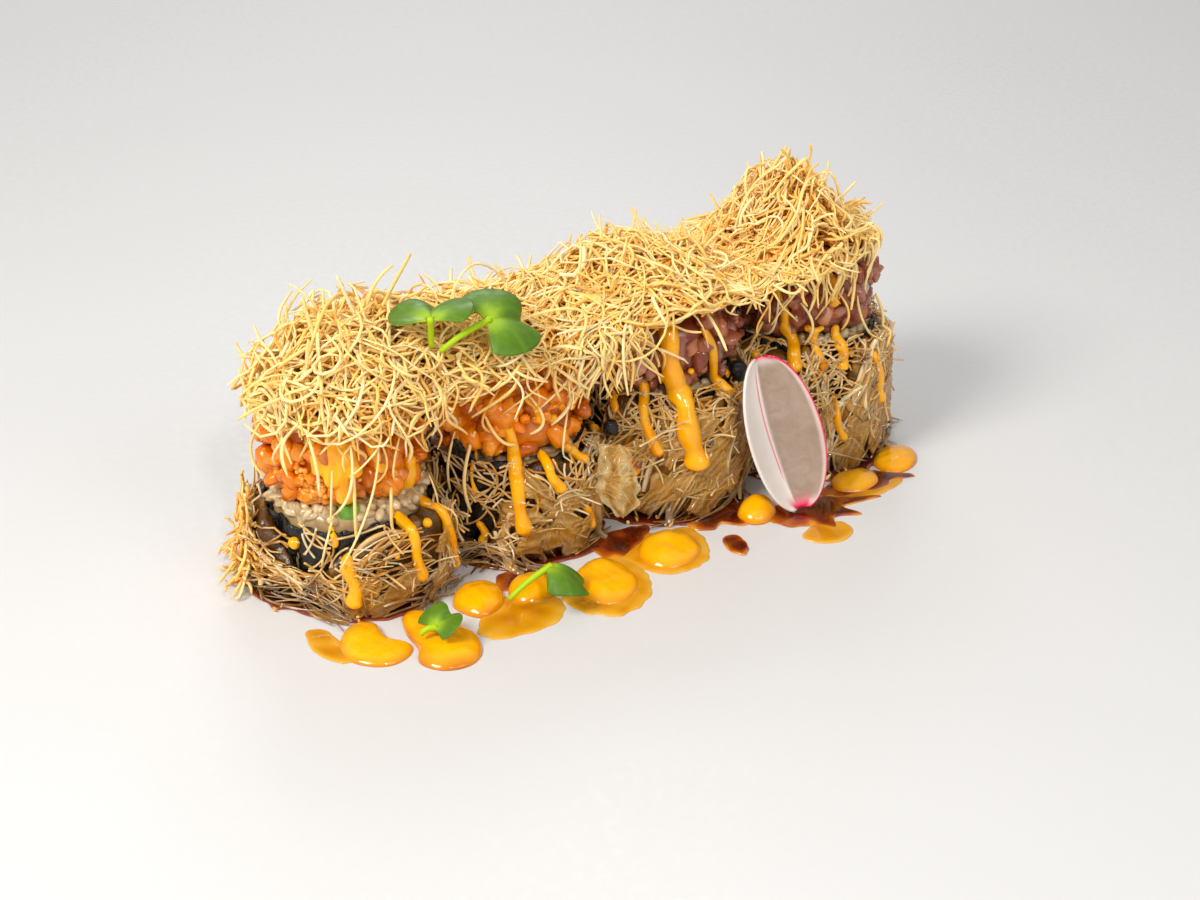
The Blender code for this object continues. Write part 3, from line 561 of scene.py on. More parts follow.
def bent(heading: Array, length: Array) -> tuple[Array, Array]:
    """Flat curves that follow a heading in equal steps, centred on zero.

    Args:
        heading: in radians, shape (curves, steps).
        length: of each curve, shape (curves, 1).

    Returns:
        The two coordinates, each of shape (curves, steps).
    """
    step = length / (heading.shape[1] - 1)
    u, v = np.cumsum(np.cos(heading) * step, 1), np.cumsum(np.sin(heading) * step, 1)
    return u - u.mean(1, keepdims=True), v - v.mean(1, keepdims=True)


def stacks(count: int, rings: int, sides: int) -> tuple[Array, Array]:
    """Faces of several closed stacks of rings, each stored ring by ring with its two poles last.

    Args:
        count: how many stacks.
        rings: rings in each.
        sides: points in a ring.

    Returns:
        The four-sided faces, and the three-sided ones round the poles.
    """
    base = (np.arange(count) * (rings * sides + 2))[:, None, None]
    i, j = np.arange(rings - 1)[None, :, None] * sides, np.arange(sides)[None, None]
    a, b = base + i + j, base + i + (j + 1) % sides
    quads = np.stack([a, b, b + sides, a + sides], -1).reshape(-1, 4)
    start, end = base[:, :, 0], base[:, :, 0] + (rings - 1) * sides
    ring, after = np.arange(sides)[None], (np.arange(sides)[None] + 1) % sides
    pole = np.broadcast_to(base[:, :, 0] + rings * sides, (count, sides))
    triangles = np.concatenate([
        np.stack([pole, start + after, start + ring], -1).reshape(-1, 3),
        np.stack([pole + 1, end + ring, end + after], -1).reshape(-1, 3),
    ])
    return quads, triangles


def skin(rings: Array, wrap: bool = False, values: Optional[dict] = None) -> Shape:
    """A closed skin over a stack of closed rings: each ring joins the next, point by point.

    Args:
        rings: points, shape (rings, points in a ring, 3).
        wrap: joins the last ring to the first, instead of a pole at the mean of each end ring.
        values: numbers for each point, shape (rings, points in a ring).

    Returns:
        The shape, turned outwards.
    """
    rows, columns = rings.shape[:2]
    index = np.arange(rows * columns).reshape(rows, columns)
    lower = index if wrap else index[:-1]
    upper = np.roll(index, -1, 0) if wrap else index[1:]
    quads = np.stack([lower, np.roll(lower, -1, 1), np.roll(upper, -1, 1), upper], -1).reshape(-1, 4)
    points = rings.reshape(-1, 3)
    numbers = {k: v.reshape(-1) for k, v in (values or {}).items()}
    triangles = np.zeros((0, 3), int)
    if not wrap:
        poles = rows * columns + np.array([0, 1])
        points = np.concatenate([points, rings[:1].mean(1), rings[-1:].mean(1)])
        numbers = {k: np.concatenate([v, v[:columns].mean(keepdims=True), v[-columns:].mean(keepdims=True)])
                   for k, v in numbers.items()}
        first, last = index[0], index[-1]
        triangles = np.concatenate([
            np.stack([np.full(columns, poles[0]), np.roll(first, -1), first], -1),
            np.stack([np.full(columns, poles[1]), last, np.roll(last, -1)], -1),
        ])
    return Shape(points, quads, triangles, numbers).outwards()


def strands(paths: Array, radii: Array, sides: int, tints: Array, flatness: Optional[Array] = None) -> Shape:
    """Round or flattened strands: a circle carried along each path, closed by a point at both ends.

    The circle's first axis is carried from point to point with its part along the path taken out.

    Args:
        paths: centre lines, shape (strands, steps, 3).
        radii: shape (strands, steps).
        sides: points round each circle.
        tints: the colour number, shape (strands,) or (strands, steps).
        flatness: how much wider than its thickness each strand is, shape (strands,).

    Returns:
        All the strands as one shape, with "tint" on its points.
    """
    count, steps = paths.shape[:2]
    along = unit(np.gradient(paths, axis=1))
    first = np.empty_like(paths)
    side = np.cross(along[:, 0], np.array([0.31, 0.52, 0.79]))
    for k in range(steps):
        side = unit(side - along[:, k] * (side * along[:, k]).sum(-1, keepdims=True))
        first[:, k] = side
    second = np.cross(along, first)
    wide = np.ones(count) if flatness is None else flatness
    angle = turn(sides)
    rings = paths[:, :, None] + radii[:, :, None, None] * (
        np.cos(angle)[:, None] * first[:, :, None] * wide[:, None, None, None]
        + np.sin(angle)[:, None] * second[:, :, None] / np.sqrt(wide)[:, None, None, None]
    )
    tips = np.stack([paths[:, 0] - along[:, 0] * radii[:, :1] * 0.5,
                     paths[:, -1] + along[:, -1] * radii[:, -1:] * 0.5], 1)
    points = np.concatenate([rings.reshape(count, -1, 3), tips], 1).reshape(-1, 3)
    tints = np.broadcast_to(tints[:, None] if tints.ndim == 1 else tints, (count, steps))
    numbers = np.concatenate([np.repeat(tints, sides, 1), tints[:, :1], tints[:, -1:]], 1).reshape(-1)
    return Shape(points, *stacks(count, steps, sides), {"tint": numbers}).outwards()


def lumps(centres: Array, axes: Array, halves: Array, tints: Array, grid: tuple[int, int] = (7, 12),
          power: float = 2.0, rough: float = 0.06, seed: int = 1) -> Shape:
    """Rounded lumps: each is a superellipsoid, |x|^p + |y|^p + |z|^p = 1, stretched, turned and dented.

    Args:
        centres: shape (lumps, 3).
        axes: three unit axes for each, shape (lumps, 3, 3).
        halves: half sizes along them, shape (lumps, 3).
        tints: the colour number of each.
        grid: rings between the poles, and points in a ring.
        power: 2 for a ball, more for a box with round edges.
        rough: depth of the dents, as a share of the size.
        seed: picks the dents.

    Returns:
        All the lumps as one shape.
    """
    rows, columns = grid
    lat = np.linspace(-math.pi / 2, math.pi / 2, rows + 2)[1:-1, None]
    lon = turn(columns)[None]
    flat = [np.cos(lat) * np.cos(lon), np.cos(lat) * np.sin(lon), np.sin(lat) + 0 * lon]
    ways = np.concatenate([np.stack(flat, -1).reshape(-1, 3), [[0, 0, -1.0], [0, 0, 1.0]]])
    base = ways / ((np.abs(ways) ** power).sum(-1, keepdims=True) ** (1 / power))
    count = len(centres)
    drift = np.random.default_rng(seed).uniform(-9, 9, (count, 1, 3))
    dents = 1 + rough * swell(ways[None] + drift, 2.2, seed + 1)[..., None]
    points = centres[:, None] + np.einsum("nmk,nkj->nmj", base[None] * halves[:, None] * dents, axes)
    numbers = {"tint": np.repeat(tints, len(ways))}
    return Shape(points.reshape(-1, 3), *stacks(count, rows, columns), numbers).outwards()


def turned_axes(draw: Draw, count: int) -> Array:
    """Random sets of three unit axes, from random unit quaternions.

    Args:
        draw: the random numbers.
        count: how many sets.

    Returns:
        Shape (count, 3, 3).
    """
    w, x, y, z = unit(draw.normal(size=(count, 4))).T
    rows = [[1 - 2 * (y * y + z * z), 2 * (x * y - z * w), 2 * (x * z + y * w)],
            [2 * (x * y + z * w), 1 - 2 * (x * x + z * z), 2 * (y * z - x * w)],
            [2 * (x * z - y * w), 2 * (y * z + x * w), 1 - 2 * (x * x + y * y)]]
    return np.array(rows).transpose(2, 0, 1)


def slab(middle: Array, half: Array, values: dict[str, Array]) -> Shape:
    """A thin closed solid over an open grid: the grid moved both ways along its normals, with a joined rim.

    Args:
        middle: the middle surface, shape (rows, columns, 3).
        half: half thickness, shape (rows, columns).
        values: numbers for each grid point; the "under" side takes the name with "_under" if it is given.

    Returns:
        The solid.
    """
    rows, columns = middle.shape[:2]
    normal = unit(np.cross(np.gradient(middle, axis=0), np.gradient(middle, axis=1)))
    points = np.concatenate([(middle + normal * half[..., None]).reshape(-1, 3),
                             (middle - normal * half[..., None]).reshape(-1, 3)])
    index = np.arange(rows * columns).reshape(rows, columns)
    top = np.stack([index[:-1, :-1], index[:-1, 1:], index[1:, 1:], index[1:, :-1]], -1).reshape(-1, 4)
    rim = np.concatenate([index[0, :-1], index[:-1, -1], index[-1, :0:-1], index[:0:-1, 0]])
    after = np.roll(rim, -1)
    count = rows * columns
    edge = np.stack([after, rim, rim + count, after + count], -1)
    numbers = {k: np.concatenate([v.ravel(), values.get(k + "_under", v).ravel()])
               for k, v in values.items() if not k.endswith("_under")}
    quads = np.concatenate([top, top[:, ::-1] + count, edge])
    return Shape(points, quads, np.zeros((0, 3), int), numbers).outwards()


def melted(parts: Sequence[Shape], voxel: float, rounds: int) -> Shape:
    """Several overlapping closed shapes run together as a thick sauce does: remeshed as one and smoothed.

    Args:
        parts: the shapes.
        voxel: the remesh's cell, in metres.
        rounds: how many times it is smoothed.

    Returns:
        The skin, in four-sided faces, with a "tint" from its own noise.
    """
    rough = bpy.data.objects.new("melting", Shape.joined(parts).mesh("melting", np.zeros(3)))
    bpy.context.scene.collection.objects.link(rough)
    join = rough.modifiers.new("join", "REMESH")
    join.mode, join.voxel_size = "VOXEL", voxel
    ease = rough.modifiers.new("ease", "SMOOTH")
    ease.factor, ease.iterations = 0.6, rounds
    bpy.context.view_layer.update()
    done = rough.evaluated_get(bpy.context.evaluated_depsgraph_get()).to_mesh()
    points = np.empty(len(done.vertices) * 3, np.float32)
    done.vertices.foreach_get("co", points)
    corners = np.empty(len(done.loops), np.int32)
    done.loops.foreach_get("vertex_index", corners)
    totals = np.empty(len(done.polygons), np.int32)
    done.polygons.foreach_get("loop_total", totals)
    starts = np.concatenate([[0], np.cumsum(totals)[:-1]])
    fours, threes = starts[totals == 4], starts[totals == 3]
    points = points.reshape(-1, 3).astype(float)
    shape = Shape(points, corners[fours[:, None] + np.arange(4)], corners[threes[:, None] + np.arange(3)],
                  {"tint": 0.62 + 0.10 * swell(points, 0.006, 5)})
    bpy.data.objects.remove(rough)
    return shape.outwards()


# The slices' own surfaces
@dataclass(frozen=True)
class Slice:
    """One standing slice. Angles in its fields are degrees from FRONT, positive towards +X."""

    number: int
    x: float
    y: float
    height: float  # top of the nori band
    rice_rise: float
    fish: Fish
    fish_radius: float
    fish_top: float
    fish_shift: tuple[float, float]
    window: tuple[float, float, float]  # middle, half width, and height of coat where the nori shows
    flap: tuple[float, float, float]  # middle, half width and height of the nori's loose end
    left: Optional[float]  # contact plane with the neighbour
    right: Optional[float]

    def near(self, angle: Array, middle: float, half_width: float) -> Array:
        """A smooth bump, exp(-1.6 (offset / half width)^2), with the offset in degrees from FRONT."""
        off = (np.degrees(angle - FRONT) - middle + 180) % 360 - 180
        return np.exp(-((off / half_width) ** 2) * 1.6)

    def ripple(self, angle: Array, seed: int, size: float) -> Array:
        """Three sines round the slice, with 3, 5 and 9 waves and phases set by the seed."""
        phases = np.random.default_rng(seed).uniform(0, 2 * math.pi, 3)
        waves = zip((1.0, 0.6, 0.4), (3, 5, 9), phases)
        return size * sum(share * np.sin(count * angle + phase) for share, count, phase in waves)

    def nori_radius(self, angle: Array) -> Array:
        """Outer radius of the nori: a circle squeezed along the row, with ripples."""
        return NORI_RADIUS - NORI_SQUEEZE * np.cos(2 * angle) + self.ripple(angle, self.number, 0.00012)

    def nori_rim(self, angle: Array) -> Array:
        """Height of the nori's rim, with the loose end that stands up from it."""
        flap = self.flap[2] * self.near(angle, self.flap[0], self.flap[1])
        return self.height + self.ripple(angle, 10 + self.number, 0.00045) + flap

    def coat_radius(self, angle: Array) -> Array:
        """Outer radius of the coat: thinner at the window, pressed flat at the contact planes."""
        window = self.near(angle, self.window[0], self.window[1])
        thick = COAT_THICKNESS * (1 - 0.45 * window) + self.ripple(angle, 20 + self.number, 0.00045)
        radius = self.nori_radius(angle) + GAP + thick
        for plane, side in ((self.right, 1.0), (self.left, -1.0)):
            if plane is not None:
                reach = abs(plane - self.x) - GAP / 2
                radius = np.minimum(radius, reach / np.maximum(side * np.cos(angle), 1e-6))
        return radius

    def coat_top(self, angle: Array) -> Array:
        """Height of the coat: just under the rim, and low where the nori shows."""
        window = self.near(angle, self.window[0], self.window[1])
        full = self.height - 0.0010 + self.ripple(angle, 30 + self.number, 0.0009)
        return full - (full - self.window[2]) * np.minimum(1, 1.15 * window)

    def at(self, angle: Array, radius: Array, height: Array) -> Array:
        """Points at these angles, radii and heights about the slice's axis."""
        return np.stack(np.broadcast_arrays(self.x + radius * np.cos(angle), self.y + radius * np.sin(angle),
                                            height), -1)

    @property
    def fish_base(self) -> float:
        """Lowest height of the fish: clear of the rice's grains and of the rim."""
        return max(self.height + self.rice_rise + GAP + 0.0012, self.height + 0.0014)

    @property
    def fish_middle(self) -> Array:
        """Middle of the heap of fish."""
        tall = self.fish_top - self.fish_base
        return np.array([self.x + self.fish_shift[0], self.y + self.fish_shift[1],
                         self.fish_top - tall * 0.62])

    def fish_reach(self, ways: Array) -> Array:
        """Distance of the fish's surface from its middle: a boxy dome with power 3."""
        half = (self.fish_top - self.fish_base) * 0.62
        flat = np.linalg.norm(ways[..., :2], axis=-1)
        return ((flat / self.fish_radius) ** 3 + (np.abs(ways[..., 2]) / half) ** 3) ** (-1 / 3)

    def fish_side(self, angle: Array, height: Array) -> Array:
        """How far the fish reaches from the slice's axis at an angle and height."""
        half = (self.fish_top - self.fish_base) * 0.62
        lift = np.minimum(np.abs(height - (self.fish_top - half)) / half, 0.98)
        shift = self.fish_shift[0] * np.cos(angle) + self.fish_shift[1] * np.sin(angle)
        return self.fish_radius * (1 - lift**3) ** (1 / 3) * 0.95 + shift

    def coat_side(self, angle: Array, height: Array) -> Array:
        """How far the coat or the bare nori reaches at an angle and height."""
        top = self.coat_top(angle)
        share = np.clip(height / np.maximum(top, 1e-4), 0, 1)
        nori = self.nori_radius(angle) + GAP
        body = np.interp(share, (0, 0.25, 0.85, 1.0), (0.93, 1.0, 0.95, 0.55))
        return nori + (self.coat_radius(angle) - nori) * np.where(height > top + 0.0005, 0.05, body)

    def side(self, angle: Array, height: Array) -> Array:
        """The outermost of coat and fish, blended over 3 mm at the rim."""
        share = np.clip((height - self.height + 0.0010) / 0.0035, 0, 1)
        share = share * share * (3 - 2 * share)
        return self.coat_side(angle, height) * (1 - share) + self.fish_side(angle, height) * share


def row_of_slices() -> list[Slice]:
    """The four slices, with contact planes midway between neighbours.

    Returns:
        The slices, from the salmon end to the tuna end.
    """
    xs = (-0.0634, -0.0227, 0.0196, 0.0630)
    planes = [None, *[(a + b) / 2 for a, b in zip(xs, xs[1:])], None]
    rows = (
        (0.0, 0.0202, 0.0036, Fish.SALMON, 0.0178, 0.0452, (-0.0004, 0.0012), (-24, 30, 0.0085),
         (75, 12, 0)),
        (0.0005, 0.0250, -0.0006, Fish.SALMON, 0.0200, 0.0495, (0.0004, -0.0004), (-16, 24, 0.0050),
         (-26, 9, 0.0070)),
        (0.0004, 0.0315, -0.0010, Fish.TUNA, 0.0202, 0.0520, (0.0002, -0.0004), (-46, 15, 0.0120),
         (-60, 8, 0)),
        (0.0, 0.0345, -0.0010, Fish.TUNA, 0.0192, 0.0565, (-0.0006, -0.0004), (24, 14, 0.0180), (90, 8, 0)),
    )
    return [Slice(i + 1, xs[i], *rows[i], planes[i], planes[i + 1]) for i in range(4)]


SLICES = row_of_slices()


# Nori, rice and cucumber
@dataclass
class NoriBand:
    """A sheet of nori wrapped once round the rice, wrinkled, with a torn rim and a loose end."""

    piece_of: Slice
    around: int = 210
    lean: float = 0.0020
    wrinkle: float = 0.00044

    def build(self, finish: Material) -> None:
        """Outer side up, over the rim and down the inner side, as a profile carried round the band."""
        s = self.piece_of
        angle = turn(self.around)[:, None]
        rim = s.nori_rim(angle) + 0.00035 * swell(s.at(angle, 0.019, 0.0), 0.0022, 7 + s.number)
        share = np.concatenate([np.linspace(0, 1, 16), np.linspace(1, 0.5, 8)])[None]
        height = rim * share
        standing = s.near(angle, s.flap[0], s.flap[1]) * (s.flap[2] > 0)
        lean = self.lean * standing * np.clip((height - s.height + 0.002) / 0.006, 0, 2) ** 1.4
        inner = np.concatenate([np.zeros(16), np.ones(8)])[None]
        radius = s.nori_radius(angle) - NORI_THICKNESS * inner + lean
        place = s.at(angle, radius, height)
        creases = swell(place * (1, 1, 0.35), 0.0042, 20 + s.number)
        creases = creases + 0.5 * swell(place, 0.0016, 30 + s.number)
        radius = radius + self.wrinkle * creases
        rings = s.at(angle, radius, height)
        tint = 0.45 + 0.12 * swell(place, 0.004, 40)
        band = skin(rings, wrap=True, values={"tint": tint})
        band.piece(f"nori_{s.number}", finish, [f"nori_band_{s.number}"], "nori")


@dataclass
class RiceBed:
    """Pressed rice inside a band: a domed core with true-size grains where it can be seen."""

    piece_of: Slice
    grain: tuple[float, float] = (0.0027, 0.00115)
    bare: float = 180.0  # the angle from FRONT where cucumber shows instead of grains

    def build(self, finish: Material) -> None:
        """A stack of rings for the core, and short fat lumps for the grains on its top."""
        s = self.piece_of
        draw = np.random.default_rng(100 + s.number)
        angle = turn(72)[None]
        share = np.array([1.0, 1.0, 0.985, 0.94, 0.86, 0.6, 0.3])[:, None]
        lift = np.array([0.0, -0.0022, -0.0006, 0.45, 0.75, 1.0, 1.0])[:, None]
        wall = (s.nori_radius(angle) - NORI_THICKNESS - GAP) * share
        height = np.where(lift <= 0, s.height + lift, s.height + lift * s.rice_rise)
        height = np.where(np.arange(7)[:, None] == 0, 0.0, height) + 0 * angle
        rings = s.at(angle, wall, height)
        core = skin(rings, values={"tint": np.full(rings.shape[:2], 0.35)})
        count = 380 if s.number == 1 else 120
        spin = draw.uniform(0, 2 * math.pi, count)
        out = (NORI_RADIUS - 0.0021) * np.sqrt(draw.uniform(0.5 if s.number == 1 else 0.7, 1.0, count))
        rise = np.interp(out / NORI_RADIUS, (0.6, 0.76, 0.84, 0.89), (1.0, 0.95, 0.75, 0.45)) * s.rice_rise
        centres = s.at(spin, out, s.height + rise + draw.uniform(-0.0004, 0.0006, count))
        centres = centres - np.array([0, 0, 0.0004])
        long, thick = self.grain
        halves = np.stack([draw.uniform(0.9, 1.1, count) * long, draw.uniform(0.85, 1.15, count) * thick,
                           draw.uniform(0.85, 1.1, count) * thick], 1)
        off = (np.degrees(spin - FRONT) - self.bare + 180) % 360 - 180
        seen = (np.abs(off) > 9) | (out < 0.0120)  # no grains in front of the cucumber
        grains = lumps(centres[seen], turned_axes(draw, seen.sum()), halves[seen],
                       draw.uniform(0.3, 0.95, seen.sum()), (5, 8), 2.2, 0.05, 3)
        Shape.joined([core, grains]).piece(f"rice_bed_{s.number}", finish, [f"rice_{s.number}"], "rice")


@dataclass
class CucumberBaton:
    """A stick of cucumber that runs down through the rice and shows at its top."""

    piece_of: Slice
    offset: float
    radius: float = 0.0160
    halves: tuple[float, float] = (0.0024, 0.0015)

    def build(self, finish: Material) -> None:
        """A rounded oblong carried upwards, with a softly domed end."""
        s = self.piece_of
        at = FRONT + math.radians(self.offset)
        top = s.height + s.rice_rise + 0.0014
        angle = turn(24)[None]
        share = np.array([1.0, 1.0, 1.0, 0.96, 0.8, 0.4])[:, None]
        height = np.array([0.0, top * 0.5, top - 0.0008, top - 0.0003, top, top + 0.0001])[:, None]
        side, out = np.array([-math.sin(at), math.cos(at), 0]), np.array([math.cos(at), math.sin(at), 0])
        box = (np.abs(np.cos(angle)) ** 3 + np.abs(np.sin(angle)) ** 3) ** (-1 / 3)
        rings = s.at(np.array(at), np.array(self.radius), np.array(0.0)) + (
            (np.cos(angle) * box * share * self.halves[0])[..., None] * side
            + (np.sin(angle) * box * share * self.halves[1])[..., None] * out
            + (height + 0 * angle)[..., None] * np.array([0, 0, 1.0])
        )
        tint = 0.35 + 0.3 * (height + 0 * angle) / top
        baton = skin(rings, values={"tint": tint})
        baton.piece(f"cucumber_baton_{s.number}", finish, [f"cucumber_{s.number}"], "cucumber")


# Chopped fish
@dataclass
class ChoppedFish:
    """Fish chopped into dice and pressed into a heap on the rice."""

    piece_of: Slice
    bits: int = 230
    beads: int = 0

    def directions(self) -> Array:
        """The directions of the large dice: a spiral over the sphere with a little scatter, as in the solid.

        Returns:
            Unit vectors, shape (34, 3).
        """
        k = np.arange(34) + 0.5
        lift, swing = 1 - 2 * k / 34, k * math.pi * (3 - math.sqrt(5))
        flat = np.sqrt(1 - lift**2)
        ways = np.stack([flat * np.cos(swing), flat * np.sin(swing), lift], 1)
        return unit(ways + np.random.default_rng(50 + self.piece_of.number).normal(0, 0.12, ways.shape))

    def core(self) -> Shape:
        """The heap's inside: the boxy dome drawn in by a tenth, with its low side flat."""
        s = self.piece_of
        lat, lon = np.radians(np.linspace(-60, 84, 30))[:, None], turn(64)[None]
        ways = np.stack([np.cos(lat) * np.cos(lon), np.cos(lat) * np.sin(lon), np.sin(lat) + 0 * lon], -1)
        reach = s.fish_reach(ways) * (0.90 + 0.02 * swell(ways, 0.5, 60 + s.number))
        rings = s.fish_middle + ways * reach[..., None]
        rings[..., 2] = np.maximum(rings[..., 2], s.fish_base)
        return skin(rings, values={"tint": np.full(rings.shape[:2], 0.25)})

    def dice(self) -> Shape:
        """Large dice at the solid's own directions, and smaller bits between them."""
        s = self.piece_of
        draw = np.random.default_rng(200 + s.number)
        big = self.directions()
        big = big[big[:, 2] > -0.75]
        small = unit(draw.normal(size=(self.bits, 3)))
        small = small[small[:, 2] > -0.6]
        ways = np.concatenate([big, small])
        count, large = len(ways), len(big)
        size = np.concatenate([draw.uniform(0.0036, 0.0056, large),
                               draw.uniform(0.0012, 0.0030, count - large)])
        sink = np.where(np.arange(count) < large, 0.80, 0.95) * draw.uniform(0.96, 1.03, count)
        centres = s.fish_middle + ways * (s.fish_reach(ways) * sink)[:, None]
        centres[:, 2] = np.maximum(centres[:, 2], s.fish_base + size * 0.55)
        stretch = 1.5 if s.fish is Fish.TUNA else 1.25
        halves = size[:, None] * np.stack([draw.uniform(0.8, stretch, count), draw.uniform(0.6, 1.0, count),
                                           draw.uniform(0.45, 0.8, count)], 1)
        tints = np.clip(draw.normal(0.42, 0.15 if s.fish is Fish.TUNA else 0.22, count), 0.02, 1.0)
        boxy = 2.8 if s.fish is Fish.TUNA else 4.0
        axes = turned_axes(draw, count)
        parts = ((slice(0, large), (11, 16)), (slice(large, count), (6, 9)))
        shape = Shape.joined([lumps(centres[part], axes[part], halves[part], tints[part], grid, boxy, 0.16,
                                    210 + s.number) for part, grid in parts])
        bumps = swell(shape.points, 0.0022, 215)[:, None]
        shape.points += 0.00022 * unit(shape.points - s.fish_middle) * bumps
        shape.points[:, 2] = np.maximum(shape.points[:, 2], s.fish_base - 0.0006)
        return shape

    def build(self, finish: Material, roe: Material) -> None:
        """The heap of dice as one piece, and the beads of roe pressed into its foot as another."""
        s = self.piece_of
        kind, node = s.fish.value, f"{s.fish.value}_{s.number}"
        Shape.joined([self.core(), self.dice()]).piece(f"chopped_{node}", finish, [node], kind)
        if self.beads:
            draw = np.random.default_rng(220 + s.number)
            angle = FRONT + np.radians(draw.normal(-34, 20, self.beads))
            height = s.fish_base + 0.0004 + np.abs(draw.normal(0.0028, 0.0026, self.beads))
            out = s.fish_side(angle, height) + draw.uniform(-0.0006, 0.0008, self.beads)
            halves = np.repeat(draw.uniform(0.00055, 0.00080, self.beads)[:, None], 3, 1)
            beads = lumps(s.at(angle, out, height), turned_axes(draw, self.beads), halves,
                          draw.uniform(0.2, 0.9, self.beads), (4, 7), 2.0, 0.02, 4)
            beads.piece(f"smelt_roe_{s.number}", roe, [node], kind)


# The soaked coats
@dataclass(frozen=True)
class Comb:
    """How a slice's soaked shreds lie: slope and spread in degrees, gold, number, and the jelly's places."""

    slope: float
    spread: float
    gold: float
    clumps: int
    jelly: tuple[tuple[float, float, float], ...]  # angle from FRONT, share of the height, half width


COMBS = {
    1: Comb(8, 30, 0.02, 54,
            ((30, 0.30, 8), (-78, 0.5, 8), (62, 0.2, 7), (-110, 0.6, 9), (10, 0.25, 8), (75, 0.6, 8),
             (160, 0.5, 10))),
    2: Comb(-15, 50, 0.0, 38,
            ((30, 0.30, 10), (48, 0.60, 9), (12, 0.62, 7), (62, 0.25, 8), (95, 0.5, 9), (-60, 0.4, 8),
             (22, 0.80, 7), (44, 0.15, 9), (175, 0.5, 10))),
    3: Comb(42, 16, 0.12, 46,
            ((30, 0.45, 11), (48, 0.62, 12), (8, 0.30, 10), (20, 0.7, 9), (100, 0.5, 10), (-90, 0.5, 9),
             (38, 0.25, 10), (60, 0.42, 10), (-8, 0.62, 8), (165, 0.5, 10))),
    4: Comb(60, 28, 0.12, 44,
            ((52, 0.50, 13), (66, 0.32, 12), (10, 0.42, 9), (34, 0.22, 9), (92, 0.6, 11), (150, 0.5, 10),
             (74, 0.55, 10), (40, 0.65, 8), (-12, 0.5, 9))),
}


